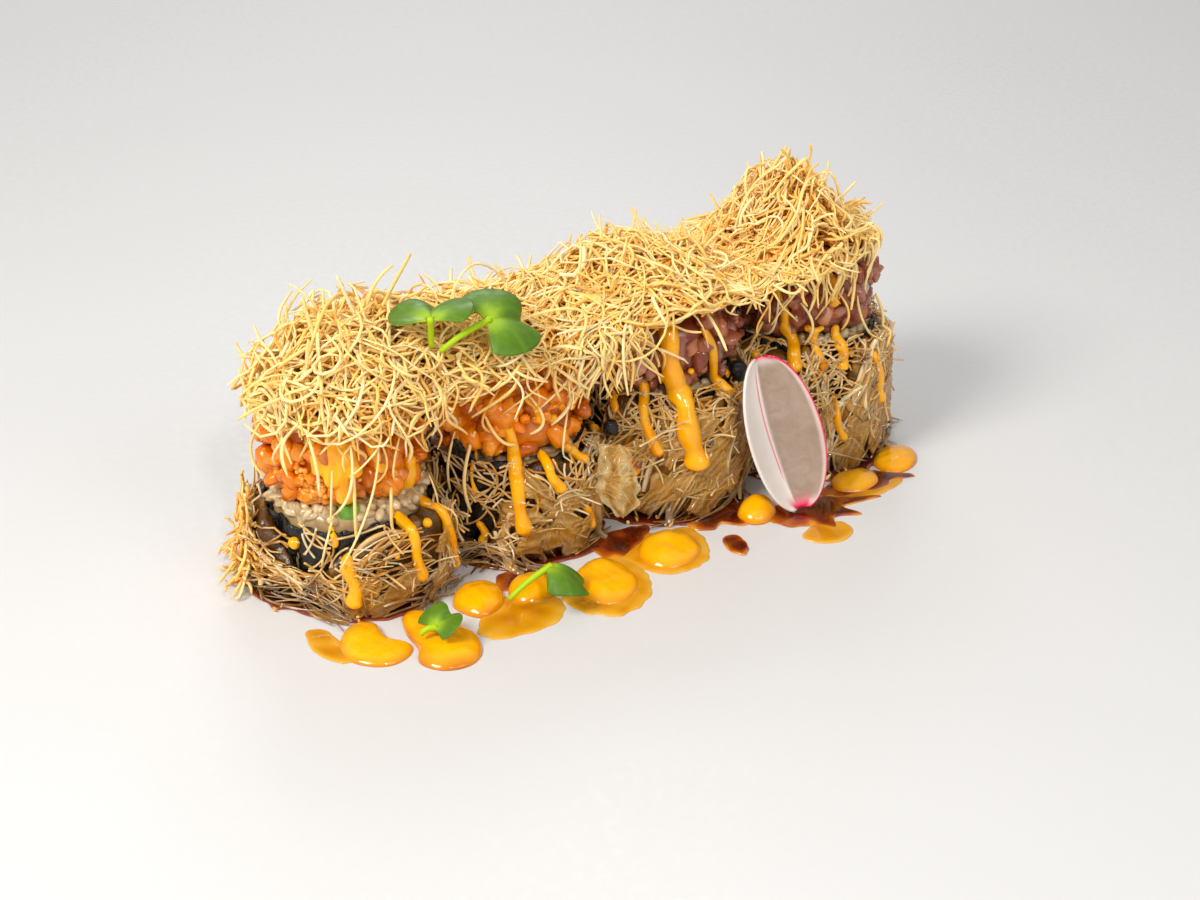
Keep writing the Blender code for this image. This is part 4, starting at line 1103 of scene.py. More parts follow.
@dataclass
class SoakedCoat:
    """Pastry shreds soaked in sauce and pressed round the nori in combed clumps."""

    piece_of: Slice
    each: int = 7
    thickness: float = 0.00033

    def sauced(self, points: Array) -> Array:
        """Where glaze has soaked in: low down, and in patches that the noise picks."""
        patches = np.clip(swell(points, 0.009, 340 + self.piece_of.number) - 0.8, 0, 1)
        wet = 0.5 + 0.5 * swell(points, 0.007, 345 + self.piece_of.number)
        foot = np.clip((0.0068 - points[:, 2]) / 0.005, 0, 1) * np.clip(wet + 0.3, 0, 1)
        return np.clip(patches + foot, 0, 0.7)

    def mass(self) -> Shape:
        """The coat's depth, dark with painted shade in its finish: the ring of the solid drawn in a little,
        uneven where clumps sink in.
        """
        s = self.piece_of
        angle = turn(200)[:, None]
        inner = s.nori_radius(angle) + GAP * 0.5
        outer = s.coat_radius(angle) - 0.0012
        top = s.coat_top(angle)
        share = np.array([0.0, 0.02, 0.12, 0.3, 0.5, 0.7, 0.86, 0.97, 1.0, 0.9])[None]
        depth = np.array([0.0, 0.85, 0.95, 1.0, 1.0, 0.97, 0.86, 0.5, 0.0, 0.0])[None]
        place = s.at(angle, outer, top * share)
        lumpy = 0.0008 * swell(place, 0.006, 300 + s.number) * (depth > 0.4)
        radius = inner + (outer - inner) * depth + lumpy
        height = top * share + 0.0005 * swell(place, 0.004, 310 + s.number) * (share > 0.8)
        tint = (0.35, 0.2, 0.7, 0.65)[s.number - 1] + 0.2 * swell(place, 0.005, 320 + s.number)
        made = skin(s.at(angle, radius, height), wrap=True, values={"tint": tint})
        made.values["sauce"] = self.sauced(made.points)
        return made

    def combed(self, draw: Draw) -> tuple[Array, Array, Array, Array]:
        """Centre lines of the clumps: parallel arcs over the coat that draw together towards one end.

        Args:
            draw: the random numbers.

        Returns:
            The paths, radii, tints and flatness.
        """
        s, comb = self.piece_of, COMBS[self.piece_of.number]
        steps, clumps = 10, comb.clumps
        count = clumps * self.each
        member = np.tile(np.arange(self.each), clumps) - (self.each - 1) / 2

        def per(low: float, high: float) -> Array:
            """One number for each clump, given to all of its members."""
            return np.repeat(draw.uniform(low, high, clumps), self.each)

        middle = np.repeat(2 * math.pi * (np.arange(clumps) * 0.618034 % 1), self.each)
        level = np.repeat(draw.permutation(clumps) / clumps, self.each) * 1.02
        slope = np.radians(comb.slope + np.repeat(draw.normal(0, comb.spread, clumps), self.each)
                           + draw.normal(0, 12, count))
        noodles = s.number > 2  # the last two coats are long flat noodles, the first two a tangle
        length = per(0.009, 0.022) * draw.uniform(0.6, 1.15, count) * (1.25 if noodles else 1)
        bend = (per(-1.3, 1.3) + draw.normal(0, 0.5, count)) * (0.5 if noodles else 1)
        share = np.linspace(-0.5, 0.5, steps)
        heading = slope[:, None] + bend[:, None] * share
        u, v = bent(heading, length[:, None])
        spacing = (per(0.0007, 0.0014) * member)[:, None] * (1 - per(-0.9, 0.9)[:, None] * share)
        u, v = u - np.sin(slope)[:, None] * spacing, v + np.cos(slope)[:, None] * spacing
        angle = middle[:, None] + u / 0.0235
        ceiling = s.coat_top(angle)
        height = level[:, None] * s.coat_top(middle)[:, None] + v + draw.normal(0, 0.0006, (count, 1))
        over = np.maximum(height - ceiling, 0)
        height = height - 0.9 * over.max(1, keepdims=True)
        height = np.minimum(height, ceiling + 0.0010)
        under = np.maximum(0.0007 - height, 0)
        height = np.maximum(height, 0.0006 + 0.00025 * draw.uniform(0, 1, (count, 1)))
        ends = np.abs(share) * 2
        lift = draw.uniform(-0.0010, 0.0006, (count, 1)) + ends**3 * draw.exponential(0.0010, (count, 1))
        radius = s.coat_side(angle, np.minimum(height, ceiling)) + lift + np.minimum(under, 0.003) * 0.8
        paths = s.at(angle, radius, height)
        ribbon = draw.uniform(0, 1, count) < (0.6 if noodles else 0.22)
        flatness = np.where(ribbon, draw.uniform(2.0, 4.2, count), draw.uniform(1.0, 1.3, count))
        radii = self.thickness * draw.uniform(0.55, 1.15, (count, 1)) * (1 - 0.35 * ends**4)
        tints = np.repeat(draw.normal(0.56 + comb.gold, 0.18, clumps), self.each)
        tints = tints + draw.normal(0, 0.12, count)
        dry = draw.uniform(0, 1, count) < 0.26
        tints = np.where(dry, tints + 0.35, tints)[:, None] + 0.12 * ends**3
        return paths, radii, np.clip(tints, 0.02, 1.0), flatness

    def crossing(self, draw: Draw, count: int, middle: float, spread: float,
                 low: float) -> tuple[Array, Array, Array, Array]:
        """Single strands that cross the bare nori of the window or the rim at odd slopes.

        Args:
            draw: the random numbers.
            count: how many.
            middle: where they are, in degrees from FRONT.
            spread: how far they scatter from there, in degrees.
            low: the lowest height of their middles.

        Returns:
            The paths, radii, tints and flatness.
        """
        s = self.piece_of
        steps = 10
        share = np.linspace(-0.5, 0.5, steps)
        middle = FRONT + np.radians(middle + draw.normal(0, spread, count))
        base = draw.uniform(low, s.height + 0.0008, count)
        slope = draw.uniform(-1.3, 1.3, count)
        heading = slope[:, None] + draw.normal(0, 1.4, count)[:, None] * share
        u, v = bent(heading, draw.uniform(0.005, 0.014, (count, 1)))
        angle = middle[:, None] + u / 0.021
        height = np.clip(base[:, None] + v, 0.001, s.height + 0.0012)
        lift = 0.0004 + (np.abs(share) * 2) ** 2 * draw.exponential(0.0008, (count, 1))
        radius = s.coat_side(angle, height) + lift
        radii = np.full((count, steps), self.thickness * 0.85)
        tints = np.clip(draw.normal(0.68, 0.18, (count, 1)), 0, 1) + 0 * share
        return s.at(angle, radius, height), radii, tints, np.ones(count)

    def jelly(self) -> Shape:
        """Sheets of run-together pastry that lie on the coat: curled and ribbed."""
        s, sheets = self.piece_of, []
        for k, (offset, share, half) in enumerate(COMBS[s.number].jelly):
            draw = np.random.default_rng(360 + 10 * s.number + k)
            across, along = np.linspace(-1, 1, 48)[None], np.linspace(-1, 1, 12)[:, None]
            taper = np.sqrt(np.clip(1 - 0.8 * along**2, 0, 1)) * (1 + 0.10 * np.sin(along * 7 + k))
            lean = math.radians(COMBS[s.number].slope) + draw.normal(0, 0.35)
            long, wide = along * half * 0.85 * MM, across * taper * half * 0.36 * MM
            u = long * math.cos(lean) - wide * math.sin(lean)
            v = long * math.sin(lean) + wide * math.cos(lean)
            flat = np.stack([u, v, 0 * u], -1)
            u, v = u + 0.0009 * swell(flat, 0.0045, 370 + k), v + 0.0009 * swell(flat, 0.0045, 380 + k)
            angle = FRONT + math.radians(offset) + u / 0.0235
            height = np.clip(share * s.coat_top(FRONT + math.radians(offset)) + v, 0.0008, s.height)
            wave = across * half * draw.uniform(0.5, 0.9) + 0.5 * np.sin(along * 3 + k)
            ridges = 0.00022 * (0.6 - np.abs(np.sin(wave)))
            belly = 0.0007 * (1 - across**2) + 0.0006 * along**2
            radius = s.coat_side(angle, height) + 0.0002 + ridges + belly
            # painted highlight: the sheet is paler along the crests of its ribs
            painted_crest_highlight = (1 - np.abs(np.sin(wave))) ** 1.3
            tint = 0.25 + 0.25 * across**2 + 0.45 * painted_crest_highlight * draw.uniform(0.6, 1.0)
            sheets.append(slab(s.at(angle, radius, height), 0.00022 + 0 * u, {"tint": tint}))
        sheet = Shape.joined(sheets)
        sheet.values["sauce"] = 0.6 * self.sauced(sheet.points)
        return sheet

    def build(self, wet: Material, deep: Material, clear: Material) -> None:
        """The deep mass with its painted shade, the combed strands and the jelly: pieces that stand for the
        one coat.
        """
        s = self.piece_of
        draw = np.random.default_rng(330 + s.number)
        groups = [self.combed(draw), self.crossing(draw, 22, s.window[0], s.window[1] * 1.3, s.window[2]),
                  self.crossing(draw, (14, 45, 80, 90)[s.number - 1], 20.0, 70.0, s.height - 0.008),
                  self.crossing(draw, (8, 16, 46, 50)[s.number - 1], 42.0, 45.0, 0.004),
                  self.crossing(draw, 100, 175.0, 38.0, 0.002)]
        threads = Shape.joined([strands(p, r, 5, t, f) for p, r, t, f in groups])
        threads.points[:, 2] = np.maximum(threads.points[:, 2], 0)
        threads.values["sauce"] = self.sauced(threads.points)
        self.mass().piece(f"soaked_painted_shade_mass_{s.number}", deep, [f"coat_{s.number}"], "coat")
        threads.piece(f"soaked_shreds_{s.number}", wet, [f"coat_{s.number}"], "coat")
        self.jelly().piece(f"soaked_sheets_{s.number}", clear, [f"coat_{s.number}"], "coat")


# The crisp heap
@dataclass
class CrispHeap:
    """One loose heap of fried shreds over all four slices, draped over the fish on both sides."""

    half_width: float = 0.0222
    ends: tuple[float, float] = (-0.0818, 0.0785)
    edges: tuple = ((-0.085, 0.0440), (-0.0634, 0.0445), (-0.0227, 0.0490), (0.0196, 0.0520),
                    (0.063, 0.0570))
    tops: tuple = (
        (-0.085, 0.0560), (-0.078, 0.0620), (-0.063, 0.0650), (-0.042, 0.0615), (-0.025, 0.0590),
        (-0.005, 0.0600), (0.010, 0.0638), (0.024, 0.0618), (0.036, 0.0570), (0.045, 0.0595),
        (0.052, 0.0655), (0.059, 0.0770), (0.063, 0.0745), (0.069, 0.0665), (0.078, 0.0600),
        (0.085, 0.0580),
    )
    hems: tuple = (
        (-0.085, 0.10), (-0.064, -0.02), (-0.042, 0.02), (-0.030, -0.14), (-0.016, -0.12), (-0.010, 0.12),
        (-0.003, 0.28), (0.001, 0.20), (0.006, -0.08), (0.012, -0.18), (0.036, -0.16), (0.045, 0.0),
        (0.054, 0.06), (0.062, 0.16), (0.080, 0.12),
    )  # how far past the front edge the shreds reach, as a share of the half width
    lofts: tuple = (
        (-0.085, 0.8), (-0.060, 1.0), (-0.045, 0.6), (-0.0227, 0.4), (-0.005, 0.6), (0.010, 1.0),
        (0.024, 0.6), (0.036, 0.8), (0.046, 0.9), (0.058, 1.0), (0.067, 0.5), (0.085, 0.3),
    )  # how freely the shreds stand off the heap's outside along the row
    thickness: float = 0.00036
    lying: int = 3600
    springing: int = 400
    back_limit: float = 0.0285  # no shred reaches further back or higher than these
    top_limit: float = 0.0836
    clearance: float = 0.0016  # kept free round the sprouts on top, and in front of them
    sight: float = 0.08  # how far in front of them

    def __post_init__(self) -> None:
        """Tabulates the outline from above by arc length: place along the row and share of full width."""
        share = np.sin(np.linspace(-math.pi / 2, math.pi / 2, 1201))
        share = np.sign(share) * (1 - (1 - np.abs(share)) ** 1.6)
        middle, half = sum(self.ends) / 2, (self.ends[1] - self.ends[0]) / 2
        self.place_x = middle + half * share
        self.place_wide = np.maximum(0.0, 1 - np.abs(share) ** 8) ** 0.5
        steps = np.hypot(np.diff(self.place_x), np.diff(self.place_wide * self.half_width))
        self.place_run = np.concatenate([[0], np.cumsum(steps)])

    @property
    def run(self) -> float:
        """Length of the outline from one end over the top to the other."""
        return float(self.place_run[-1])

    def cover(self, x: Array, y: Array) -> Array:
        """The lowest height that clears every heap of fish, as in the solid."""
        height = np.zeros(np.broadcast(x, y).shape)
        for s in SLICES:
            low, high = s.fish_base, s.fish_top
            off = np.hypot(x - s.fish_middle[0], y - s.fish_middle[1]) / (s.fish_radius + 0.0030)
            dome = high - 0.38 * (high - low) * (1 - (1 - np.minimum(off, 1) ** 6) ** (1 / 6)) + 0.0009
            height = np.maximum(height, np.where(off < 1, dome, 0.0))
        return height

    def surface(self, run: Array, around: Array) -> tuple[Array, Array]:
        """The heap's outside: run goes along the row and round its ends, around goes over from +Y to -Y.

        Past either edge the surface goes straight down, which is where shreds hang.

        Args:
            run: arc length from the first end.
            around: 0 at the far edge, pi at the front edge.

        Returns:
            The points and their outward directions.
        """
        run, around = np.broadcast_arrays(run, around)
        x = np.interp(run, self.place_run, self.place_x)
        wide = np.interp(run, self.place_run, self.place_wide)
        pitch = (SLICES[-1].x - SLICES[0].x) / 3
        half = self.half_width * wide * (0.96 + 0.05 * np.cos((x - SLICES[0].x) / pitch * 2 * math.pi))
        edge, top = np.interp(x, *zip(*self.edges)), np.interp(x, *zip(*self.tops))
        inside = np.clip(around, 0, math.pi)
        y = half * np.cos(inside)
        bumps = -0.0012 + 0.0010 * np.sin(x * 420 + 3 * np.cos(inside)) * np.sin(inside)
        fall = np.where(inside > math.pi / 2, 0.75, 1.5) + 0.9 * np.exp(-(((x - 0.060) / 0.008) ** 2))
        height = edge + (top - edge) * (0.35 + 0.65 * wide) * np.maximum(np.sin(inside), 0) ** fall + bumps
        height = np.maximum(height, self.cover(x, y) + 0.0022 * np.sin(inside))
        past = np.maximum(np.maximum(-around, around - math.pi), 0) * self.half_width
        points = np.stack([x, y, height - past], -1)
        ends = self.ends
        spine = np.stack([np.clip(x, ends[0] + 0.016, ends[1] - 0.016), 0 * x,
                          edge + 0.15 * (top - edge) - past], -1)
        return points, unit(points - spine)

    def wander(self, draw: Draw, count: int, length: Array, curl: Array, steps: int) -> tuple[Array, Array]:
        """Flat curves of uneven bend: the heading turns by curl over the length, with two waves on top.

        Args:
            draw: the random numbers.
            count: how many.
            length: of each, in metres.
            curl: how far each turns, in radians.
            steps: points along each.

        Returns:
            The two coordinates, each of shape (count, steps), centred on zero.
        """
        share = np.linspace(-0.5, 0.5, steps)
        heading = draw.uniform(0, 2 * math.pi, (count, 1)) + curl[:, None] * share
        for waves, bend in ((1, 0.45), (2.3, 0.25)):
            phase = draw.uniform(0, 6.3, (count, 1))
            size = draw.normal(0, bend, (count, 1))
            heading = heading + size * np.sin(2 * math.pi * waves * share + phase)
        return bent(heading, length[:, None])

    def lying_paths(self, draw: Draw) -> tuple[Array, Array]:
        """Shreds that lie over the heap at every depth, tilted in and out of it, their ends springing out.

        Args:
            draw: the random numbers.

        Returns:
            The paths and how deep each one lies, in metres.
        """
        count, steps = self.lying, 12
        run = draw.uniform(0, self.run, count)
        wide = np.interp(run, self.place_run, self.place_wide)
        keep = draw.uniform(0, 1, count) < 0.25 + 0.75 * wide
        run = np.where(keep, run, draw.uniform(0.012, self.run - 0.012, count))
        around = draw.uniform(0.0, math.pi, count)
        where = np.interp(run, self.place_run, self.place_x)
        right = np.clip((where - 0.030) / 0.02, 0, 1)  # the last slice's shreds are shorter and straighter
        length = draw.uniform(0.014, 0.042, count) * (1 - 0.45 * right)
        curl = draw.normal(0, 3.6, count) * (1 - 0.6 * right)
        u, v = self.wander(draw, count, length, curl, steps)
        wide = np.maximum(np.interp(run, self.place_run, self.place_wide), 0.45)[:, None]
        over = around[:, None] + v / (self.half_width * wide)
        along = run[:, None] + u
        hem = math.pi + np.interp(np.interp(along, self.place_run, self.place_x), *zip(*self.hems))
        spill = np.maximum((over - hem).max(1), 0) * draw.uniform(0.75, 1.1, count)
        back = np.maximum(-0.15 - over.min(1), 0)
        over = over - spill[:, None] + back[:, None]
        depth = 0.0078 * draw.uniform(0, 1, count) ** 1.15 - 0.0010
        share = np.linspace(-1, 1, steps)
        points, out = self.surface(along, over)
        spring = np.minimum(draw.exponential(0.0021, (count, 2)), 0.0060)
        spring = spring * (1 - 0.75 * np.clip(depth / 0.006, 0, 1))[:, None]
        ends = np.where(share < 0, spring[:, :1], spring[:, 1:]) * np.abs(share) ** 2.2
        swing = draw.uniform(0.0005, 0.0018, (count, 1))
        turns, phase = draw.uniform(2, 6, (count, 1)), draw.uniform(0, 6.3, (count, 1))
        sway = swing * np.sin(share * turns + phase)
        shallow = 1 - np.clip(depth / 0.004, 0, 1)[:, None]
        arch = draw.uniform(-0.3, 1.0, (count, 1))
        arch = arch * np.where(draw.uniform(0, 1, (count, 1)) < 0.22, 0.0072, 0.0030)
        sway = sway + shallow * arch * np.cos(share * math.pi / 2) ** 1.5
        tilt = draw.normal(0, 0.10, (count, 1)) * share * length[:, None] * 0.5
        loft = np.interp(np.interp(along, self.place_run, self.place_x), *zip(*self.lofts))
        free = np.minimum(ends + sway + tilt, 0.0075)
        lift = free * np.where(free > 0, 0.35 + 0.65 * loft, 1) - depth[:, None] - 0.0030 * (1 - loft)
        second, fourth = np.abs(where + 0.0215) < 0.0125, np.abs(where - 0.0525) < 0.007
        valley = np.abs(where - 0.036) < 0.005
        thin = np.where((over.mean(1) > 1.9) & second, 0.5,
                        np.where((over.mean(1) > 2.3) & fourth, 0.35, 0.0))
        thin = np.maximum(thin, 0.25 * valley)  # the fish shows through where there are fewer shreds
        keep = draw.uniform(0, 1, count) >= thin
        return (points + out * lift[..., None])[keep], depth[keep]

    def hanging_paths(self, draw: Draw) -> tuple[Array, Array]:
        """Shreds that leave the heap's edges and droop outside the fish, some curling back.

        Args:
            draw: the random numbers.

        Returns:
            The paths and a depth of zero for each.
        """
        bands = (
            (-0.080, -0.045, 16, 1), (-0.036, -0.010, 18, 1), (-0.010, 0.002, 46, 1), (0.046, 0.080, 52, 1),
            (0.030, 0.040, 6, 1), (-0.080, 0.080, 60, -1),
        )
        x = np.concatenate([draw.uniform(low, high, n) for low, high, n, _ in bands])
        side = np.concatenate([np.full(n, float(way)) for _, _, n, way in bands])
        count, steps = len(x), 11
        run = np.interp(x, self.place_x, self.place_run)
        share = np.linspace(0, 1, steps)
        dense = ((x > -0.010) & (x < 0.002)) | (x > 0.056)
        drop = draw.uniform(0.003, 0.010, count) + 0.002 * dense
        start = draw.uniform(0.15, 0.5, count)
        slant = draw.normal(0, 0.006, (count, 1))
        wave = np.sin(share * 4.5 + draw.uniform(0, 6.3, (count, 1)))
        across = run[:, None] + slant * share + 0.0022 * wave
        turn = side * (start + drop / self.half_width)
        over = np.where(side > 0, math.pi - start, start)[:, None] + turn[:, None] * share
        points, out = self.surface(across, over)
        rise = np.sin(math.pi * np.minimum(share * 1.1, 1)) ** 1.5
        bow = 0.0002 + draw.uniform(-0.0012, 0.0026, (count, 1)) * rise
        flick = draw.normal(0.0, 0.0018, (count, 1)) * share**3
        return points + out * (bow + flick)[..., None], np.zeros(count)

    def dangling_paths(self) -> tuple[Array, Array]:
        """The single shreds that stand out in front of the fish and the coats: arcs over a slice's side.

        Returns:
            The paths and a depth of zero for each.
        """
        marks = (  # slice, then three places as an angle from FRONT and a height in mm
            (1, (11, 42), (9, 32), (-2, 25)), (1, (-2, 25), (-6, 19), (-11, 12)),
            (1, (-1, 36), (-2, 29), (-4, 22)), (1, (12, 36), (11, 27), (11, 19)),
            (1, (22, 47), (31, 38), (25, 32)), (1, (35, 30), (32, 25), (34, 19)),
            (1, (69, 28), (70, 22), (81, 11)), (1, (-20, 47), (-34, 40), (-40, 35)),
            (1, (-15, 45), (-9, 38), (-10, 30)), (1, (50, 43), (60, 36), (64, 38)),
            (1, (43, 42), (35, 36), (38, 31)), (1, (-52, 44), (-60, 36), (-55, 30)),
            (2, (-14, 34), (-20, 23), (-18, 13)), (2, (-8, 39), (2, 33), (12, 31)),
            (2, (36, 47), (48, 40), (36, 34)), (2, (18, 44), (28, 37), (21, 33)),
            (2, (71, 46), (58, 41), (80, 34)), (2, (-28, 33), (-31, 25), (-33, 17)),
            (2, (2, 45), (-8, 38), (-2, 34)), (2, (50, 36), (42, 30), (46, 24)),
            (3, (-31, 44), (-34, 36), (-38, 27)), (3, (-22, 40), (-16, 37), (-8, 37)),
            (3, (-8, 51), (1, 43), (2, 40)), (3, (-44, 42), (-40, 34), (-46, 30)),
            (4, (-27, 42), (-34, 35), (-40, 30)), (4, (-19, 48), (-20, 40), (-28, 37)),
            (4, (-4, 46), (4, 41), (0, 35)), (4, (22, 48), (28, 43), (26, 38)),
            (4, (38, 46), (41, 39), (59, 32)), (4, (60, 44), (66, 36), (62, 30)),
            (4, (120, 44), (124, 36), (118, 30)), (3, (160, 42), (166, 34), (160, 28)),
            (2, (170, 40), (176, 32), (168, 26)), (1, (180, 38), (186, 30), (178, 22)),
            (1, (-120, 40), (-126, 32), (-120, 26)),
        )
        paths = []
        for number, *places in marks:
            s = SLICES[number - 1]
            sides = arcs(np.array([places], float), 13)[0]
            angle, height = FRONT + np.radians(sides[:, 0]), sides[:, 1] * MM
            bow = 0.0012 + 0.0016 * np.sin(math.pi * np.linspace(0, 1, 13))
            paths.append(s.at(angle, np.maximum(s.side(angle, height), 0.0195) + bow, height))
        return np.array(paths), np.zeros(len(paths))

    def springing_paths(self, draw: Draw) -> tuple[Array, Array]:
        """Shreds that stand out of the heap: rooted inside, nearly straight, with a slight bow.

        Args:
            draw: the random numbers.

        Returns:
            The paths and a depth of zero for each.
        """
        count, steps = self.springing, 10
        run, around = draw.uniform(0.002, self.run - 0.002, count), draw.uniform(0.1, math.pi - 0.05, count)
        root, out = self.surface(run, around)
        loft = np.interp(root[:, 0], *zip(*self.lofts))
        way = unit(out + draw.normal(0, 0.75, (count, 3)) + np.array([0, 0, 0.25]))
        share = np.linspace(0, 1, steps)[None, :, None]
        length = np.minimum(draw.exponential(0.0045, count) + 0.006, 0.0150) * (0.45 + 0.55 * loft)
        bow = unit(np.cross(way, draw.normal(size=(count, 3))))[:, None] * np.sin(math.pi * share * 0.9)
        start = (root - out * 0.0035)[:, None]
        paths = start + way[:, None] * length[:, None, None] * share
        return paths + bow * draw.normal(0, 0.0026, (count, 1, 1)), np.zeros(count)

    def named_paths(self) -> tuple[Array, Array]:
        """The long shreds that stand out in the picture: quadratic arcs through three points each.

        Returns:
            The paths and a depth of zero for each.
        """
        marks = np.array([
            ((-0.0575, -0.0040, 0.0600), (-0.0530, -0.0055, 0.0690), (-0.0478, -0.0060, 0.0768)),
            ((-0.0590, -0.0040, 0.0610), (-0.0570, -0.0050, 0.0700), (-0.0520, -0.0055, 0.0748)),
            ((-0.0600, -0.0050, 0.0610), (-0.0630, -0.0055, 0.0690), (-0.0655, -0.0060, 0.0756)),
            ((0.0575, -0.0020, 0.0670), (0.0560, -0.0035, 0.0760), (0.0515, -0.0050, 0.0815)),
            ((0.0600, -0.0020, 0.0700), (0.0612, -0.0040, 0.0770), (0.0603, -0.0050, 0.0810)),
            ((-0.0700, -0.0050, 0.0600), (-0.0725, -0.0060, 0.0670), (-0.0738, -0.0060, 0.0726)),
            ((0.0330, -0.0030, 0.0560), (0.0342, -0.0045, 0.0630), (0.0345, -0.0060, 0.0695)),
            ((-0.0400, -0.0060, 0.0590), (-0.0290, 0.0000, 0.0680), (-0.0170, 0.0010, 0.0560)),
            ((-0.0070, -0.0060, 0.0560), (-0.0030, -0.0030, 0.0640), (-0.0015, 0.0000, 0.0690)),
            ((-0.0780, -0.0080, 0.0560), (-0.0840, -0.0070, 0.0565), (-0.0905, -0.0070, 0.0535)),
            ((-0.0770, -0.0090, 0.0520), (-0.0850, -0.0090, 0.0515), (-0.0915, -0.0080, 0.0490)),
            ((-0.0640, -0.0190, 0.0420), (-0.0690, -0.0240, 0.0300), (-0.0770, -0.0235, 0.0150)),
            ((-0.0430, -0.0150, 0.0570), (-0.0130, -0.0180, 0.0600), (-0.0200, -0.0215, 0.0480)),
            ((-0.0100, -0.0150, 0.0560), (0.0120, -0.0190, 0.0560), (0.0200, -0.0225, 0.0440)),
        ])
        return arcs(marks, 13), np.zeros(len(marks))

    def thread(self, draw: Draw, paths: Array, depth: Array, ribbons: float = 0.08) -> Shape:
        """Turns paths into shreds: paler at the heap's outside and darker inside it with painted shade, and
        browner at thin ends.

        Args:
            draw: the random numbers.
            paths: centre lines.
            depth: of each below the heap's outside, in metres.
            ribbons: the share of shreds that are flat.

        Returns:
            The shreds.
        """
        count, steps = paths.shape[:2]
        ends = np.abs(np.linspace(-1, 1, steps))
        radii = self.thickness * draw.uniform(0.62, 1.2, (count, 1)) * (1 - 0.4 * ends**6)
        flat = np.where(draw.uniform(0, 1, count) < ribbons, draw.uniform(1.5, 2.0, count),
                        draw.uniform(1.0, 1.2, count))
        # painted shade: a shred's tint falls with its depth below the heap's outside
        tints = draw.normal(0.72, 0.12, count) - 0.5 * np.clip(depth / 0.0045, 0, 1)
        tints = np.clip(tints[:, None] - 0.10 * ends**5 + draw.normal(0, 0.03, (count, steps)), 0.03, 1)
        low = depth > 0.0022
        return Shape.joined([strands(paths[part], radii[part], sides, tints[part], flat[part])
                             for part, sides in ((low, 3), (~low, 5)) if part.any()])

    def clear_of(self, paths: Array, depth: Array, keep_clear: Array, camera: Array) -> tuple[Array, Array]:
        """Leaves out shreds that would run through the sprouts or lie over them as the picture sees them.

        Args:
            paths: centre lines.
            depth: of each.
            keep_clear: points of the sprouts.
            camera: where the picture was taken from.

        Returns:
            The paths and depths that stay.
        """
        towards = unit(camera - keep_clear)
        keep = (paths[..., 1].max(1) < self.back_limit) & (paths[..., 2].max(1) < self.top_limit)
        for point, way in zip(keep_clear, towards):
            off = paths - point
            ahead = off @ way
            aside = np.linalg.norm(off - ahead[..., None] * way, axis=-1)
            in_front = (ahead > 0) & (ahead < self.sight) & (aside < self.clearance)
            close = (np.linalg.norm(off, axis=-1) < self.clearance) | in_front
            keep &= ~close.any(1)
        return paths[keep], depth[keep]

    def painted_shade_core(self) -> Shape:
        """The heap's inside, dark with painted shade: its surface drawn in by 5 mm, closed beneath above the
        fish.
        """
        run = np.linspace(0.010, self.run - 0.010, 120)[:, None]
        over = np.linspace(0.12, math.pi - 0.12, 40)[None]
        points, out = self.surface(run, over)
        humps = ((-0.0215, 0.011), (0.054, 0.010))
        second, fourth = (np.exp(-(((points[..., 0] - x) / width) ** 2)) for x, width in humps)
        through = second * (over > 1.6) + fourth * (over > 1.9)
        rings = points - out * (0.0066 + 0.0030 * through)[..., None]
        rings = rings + out * (0.0009 * swell(rings, 0.006, 71))[..., None]
        low = self.cover(rings[..., 0], rings[..., 1])
        rings[..., 2] = np.maximum(rings[..., 2], low)
        below = rings[:, ::-1][:, 1:-1].copy()
        below[..., 2] = np.maximum(np.minimum(below[..., 2] - 0.004, rings[:, :1, 2]),
                                   self.cover(below[..., 0], below[..., 1]) - 0.0006)
        below[..., 2] = np.minimum(below[..., 2], rings[:, ::-1][:, 1:-1][..., 2] - 0.0004)
        whole = np.concatenate([rings, below], 1)
        return skin(whole, values={"tint": 0.4 + 0.25 * swell(whole, 0.005, 72)})

    def build(self, dry: Material, deep: Material, keep_clear: Array, camera: Array) -> None:
        """The core, dark with painted shade, and the shreds split along the row into pieces of moderate
        size.

        Args:
            dry: the crisp finish.
            deep: the core's finish, with painted shade and painted glow.
            keep_clear: points of the sprouts on top.
            camera: where the picture was taken from.
        """
        draw = np.random.default_rng(400)
        self.painted_shade_core().piece("crisp_depth_painted_shade", deep, ["crisp_blanket"], "crisp")
        lying = self.clear_of(*self.lying_paths(draw), keep_clear, camera)
        third = np.searchsorted((-0.034, 0.018), lying[0][:, 5, 0])
        for k, name in enumerate(("crisp_shreds_left", "crisp_shreds_middle", "crisp_shreds_right")):
            chosen = third == k
            shape = self.thread(draw, lying[0][chosen], lying[1][chosen])
            shape.piece(name, dry, ["crisp_blanket"], "crisp")
        loose = [self.hanging_paths(draw), self.springing_paths(draw), self.named_paths(),
                 self.dangling_paths()]
        loose = [self.clear_of(*paths, keep_clear, camera) for paths in loose]
        shape = Shape.joined([self.thread(draw, *paths, ribbons=0.0) for paths in loose])
        shape.piece("crisp_shreds_loose", dry, ["crisp_blanket"], "crisp")


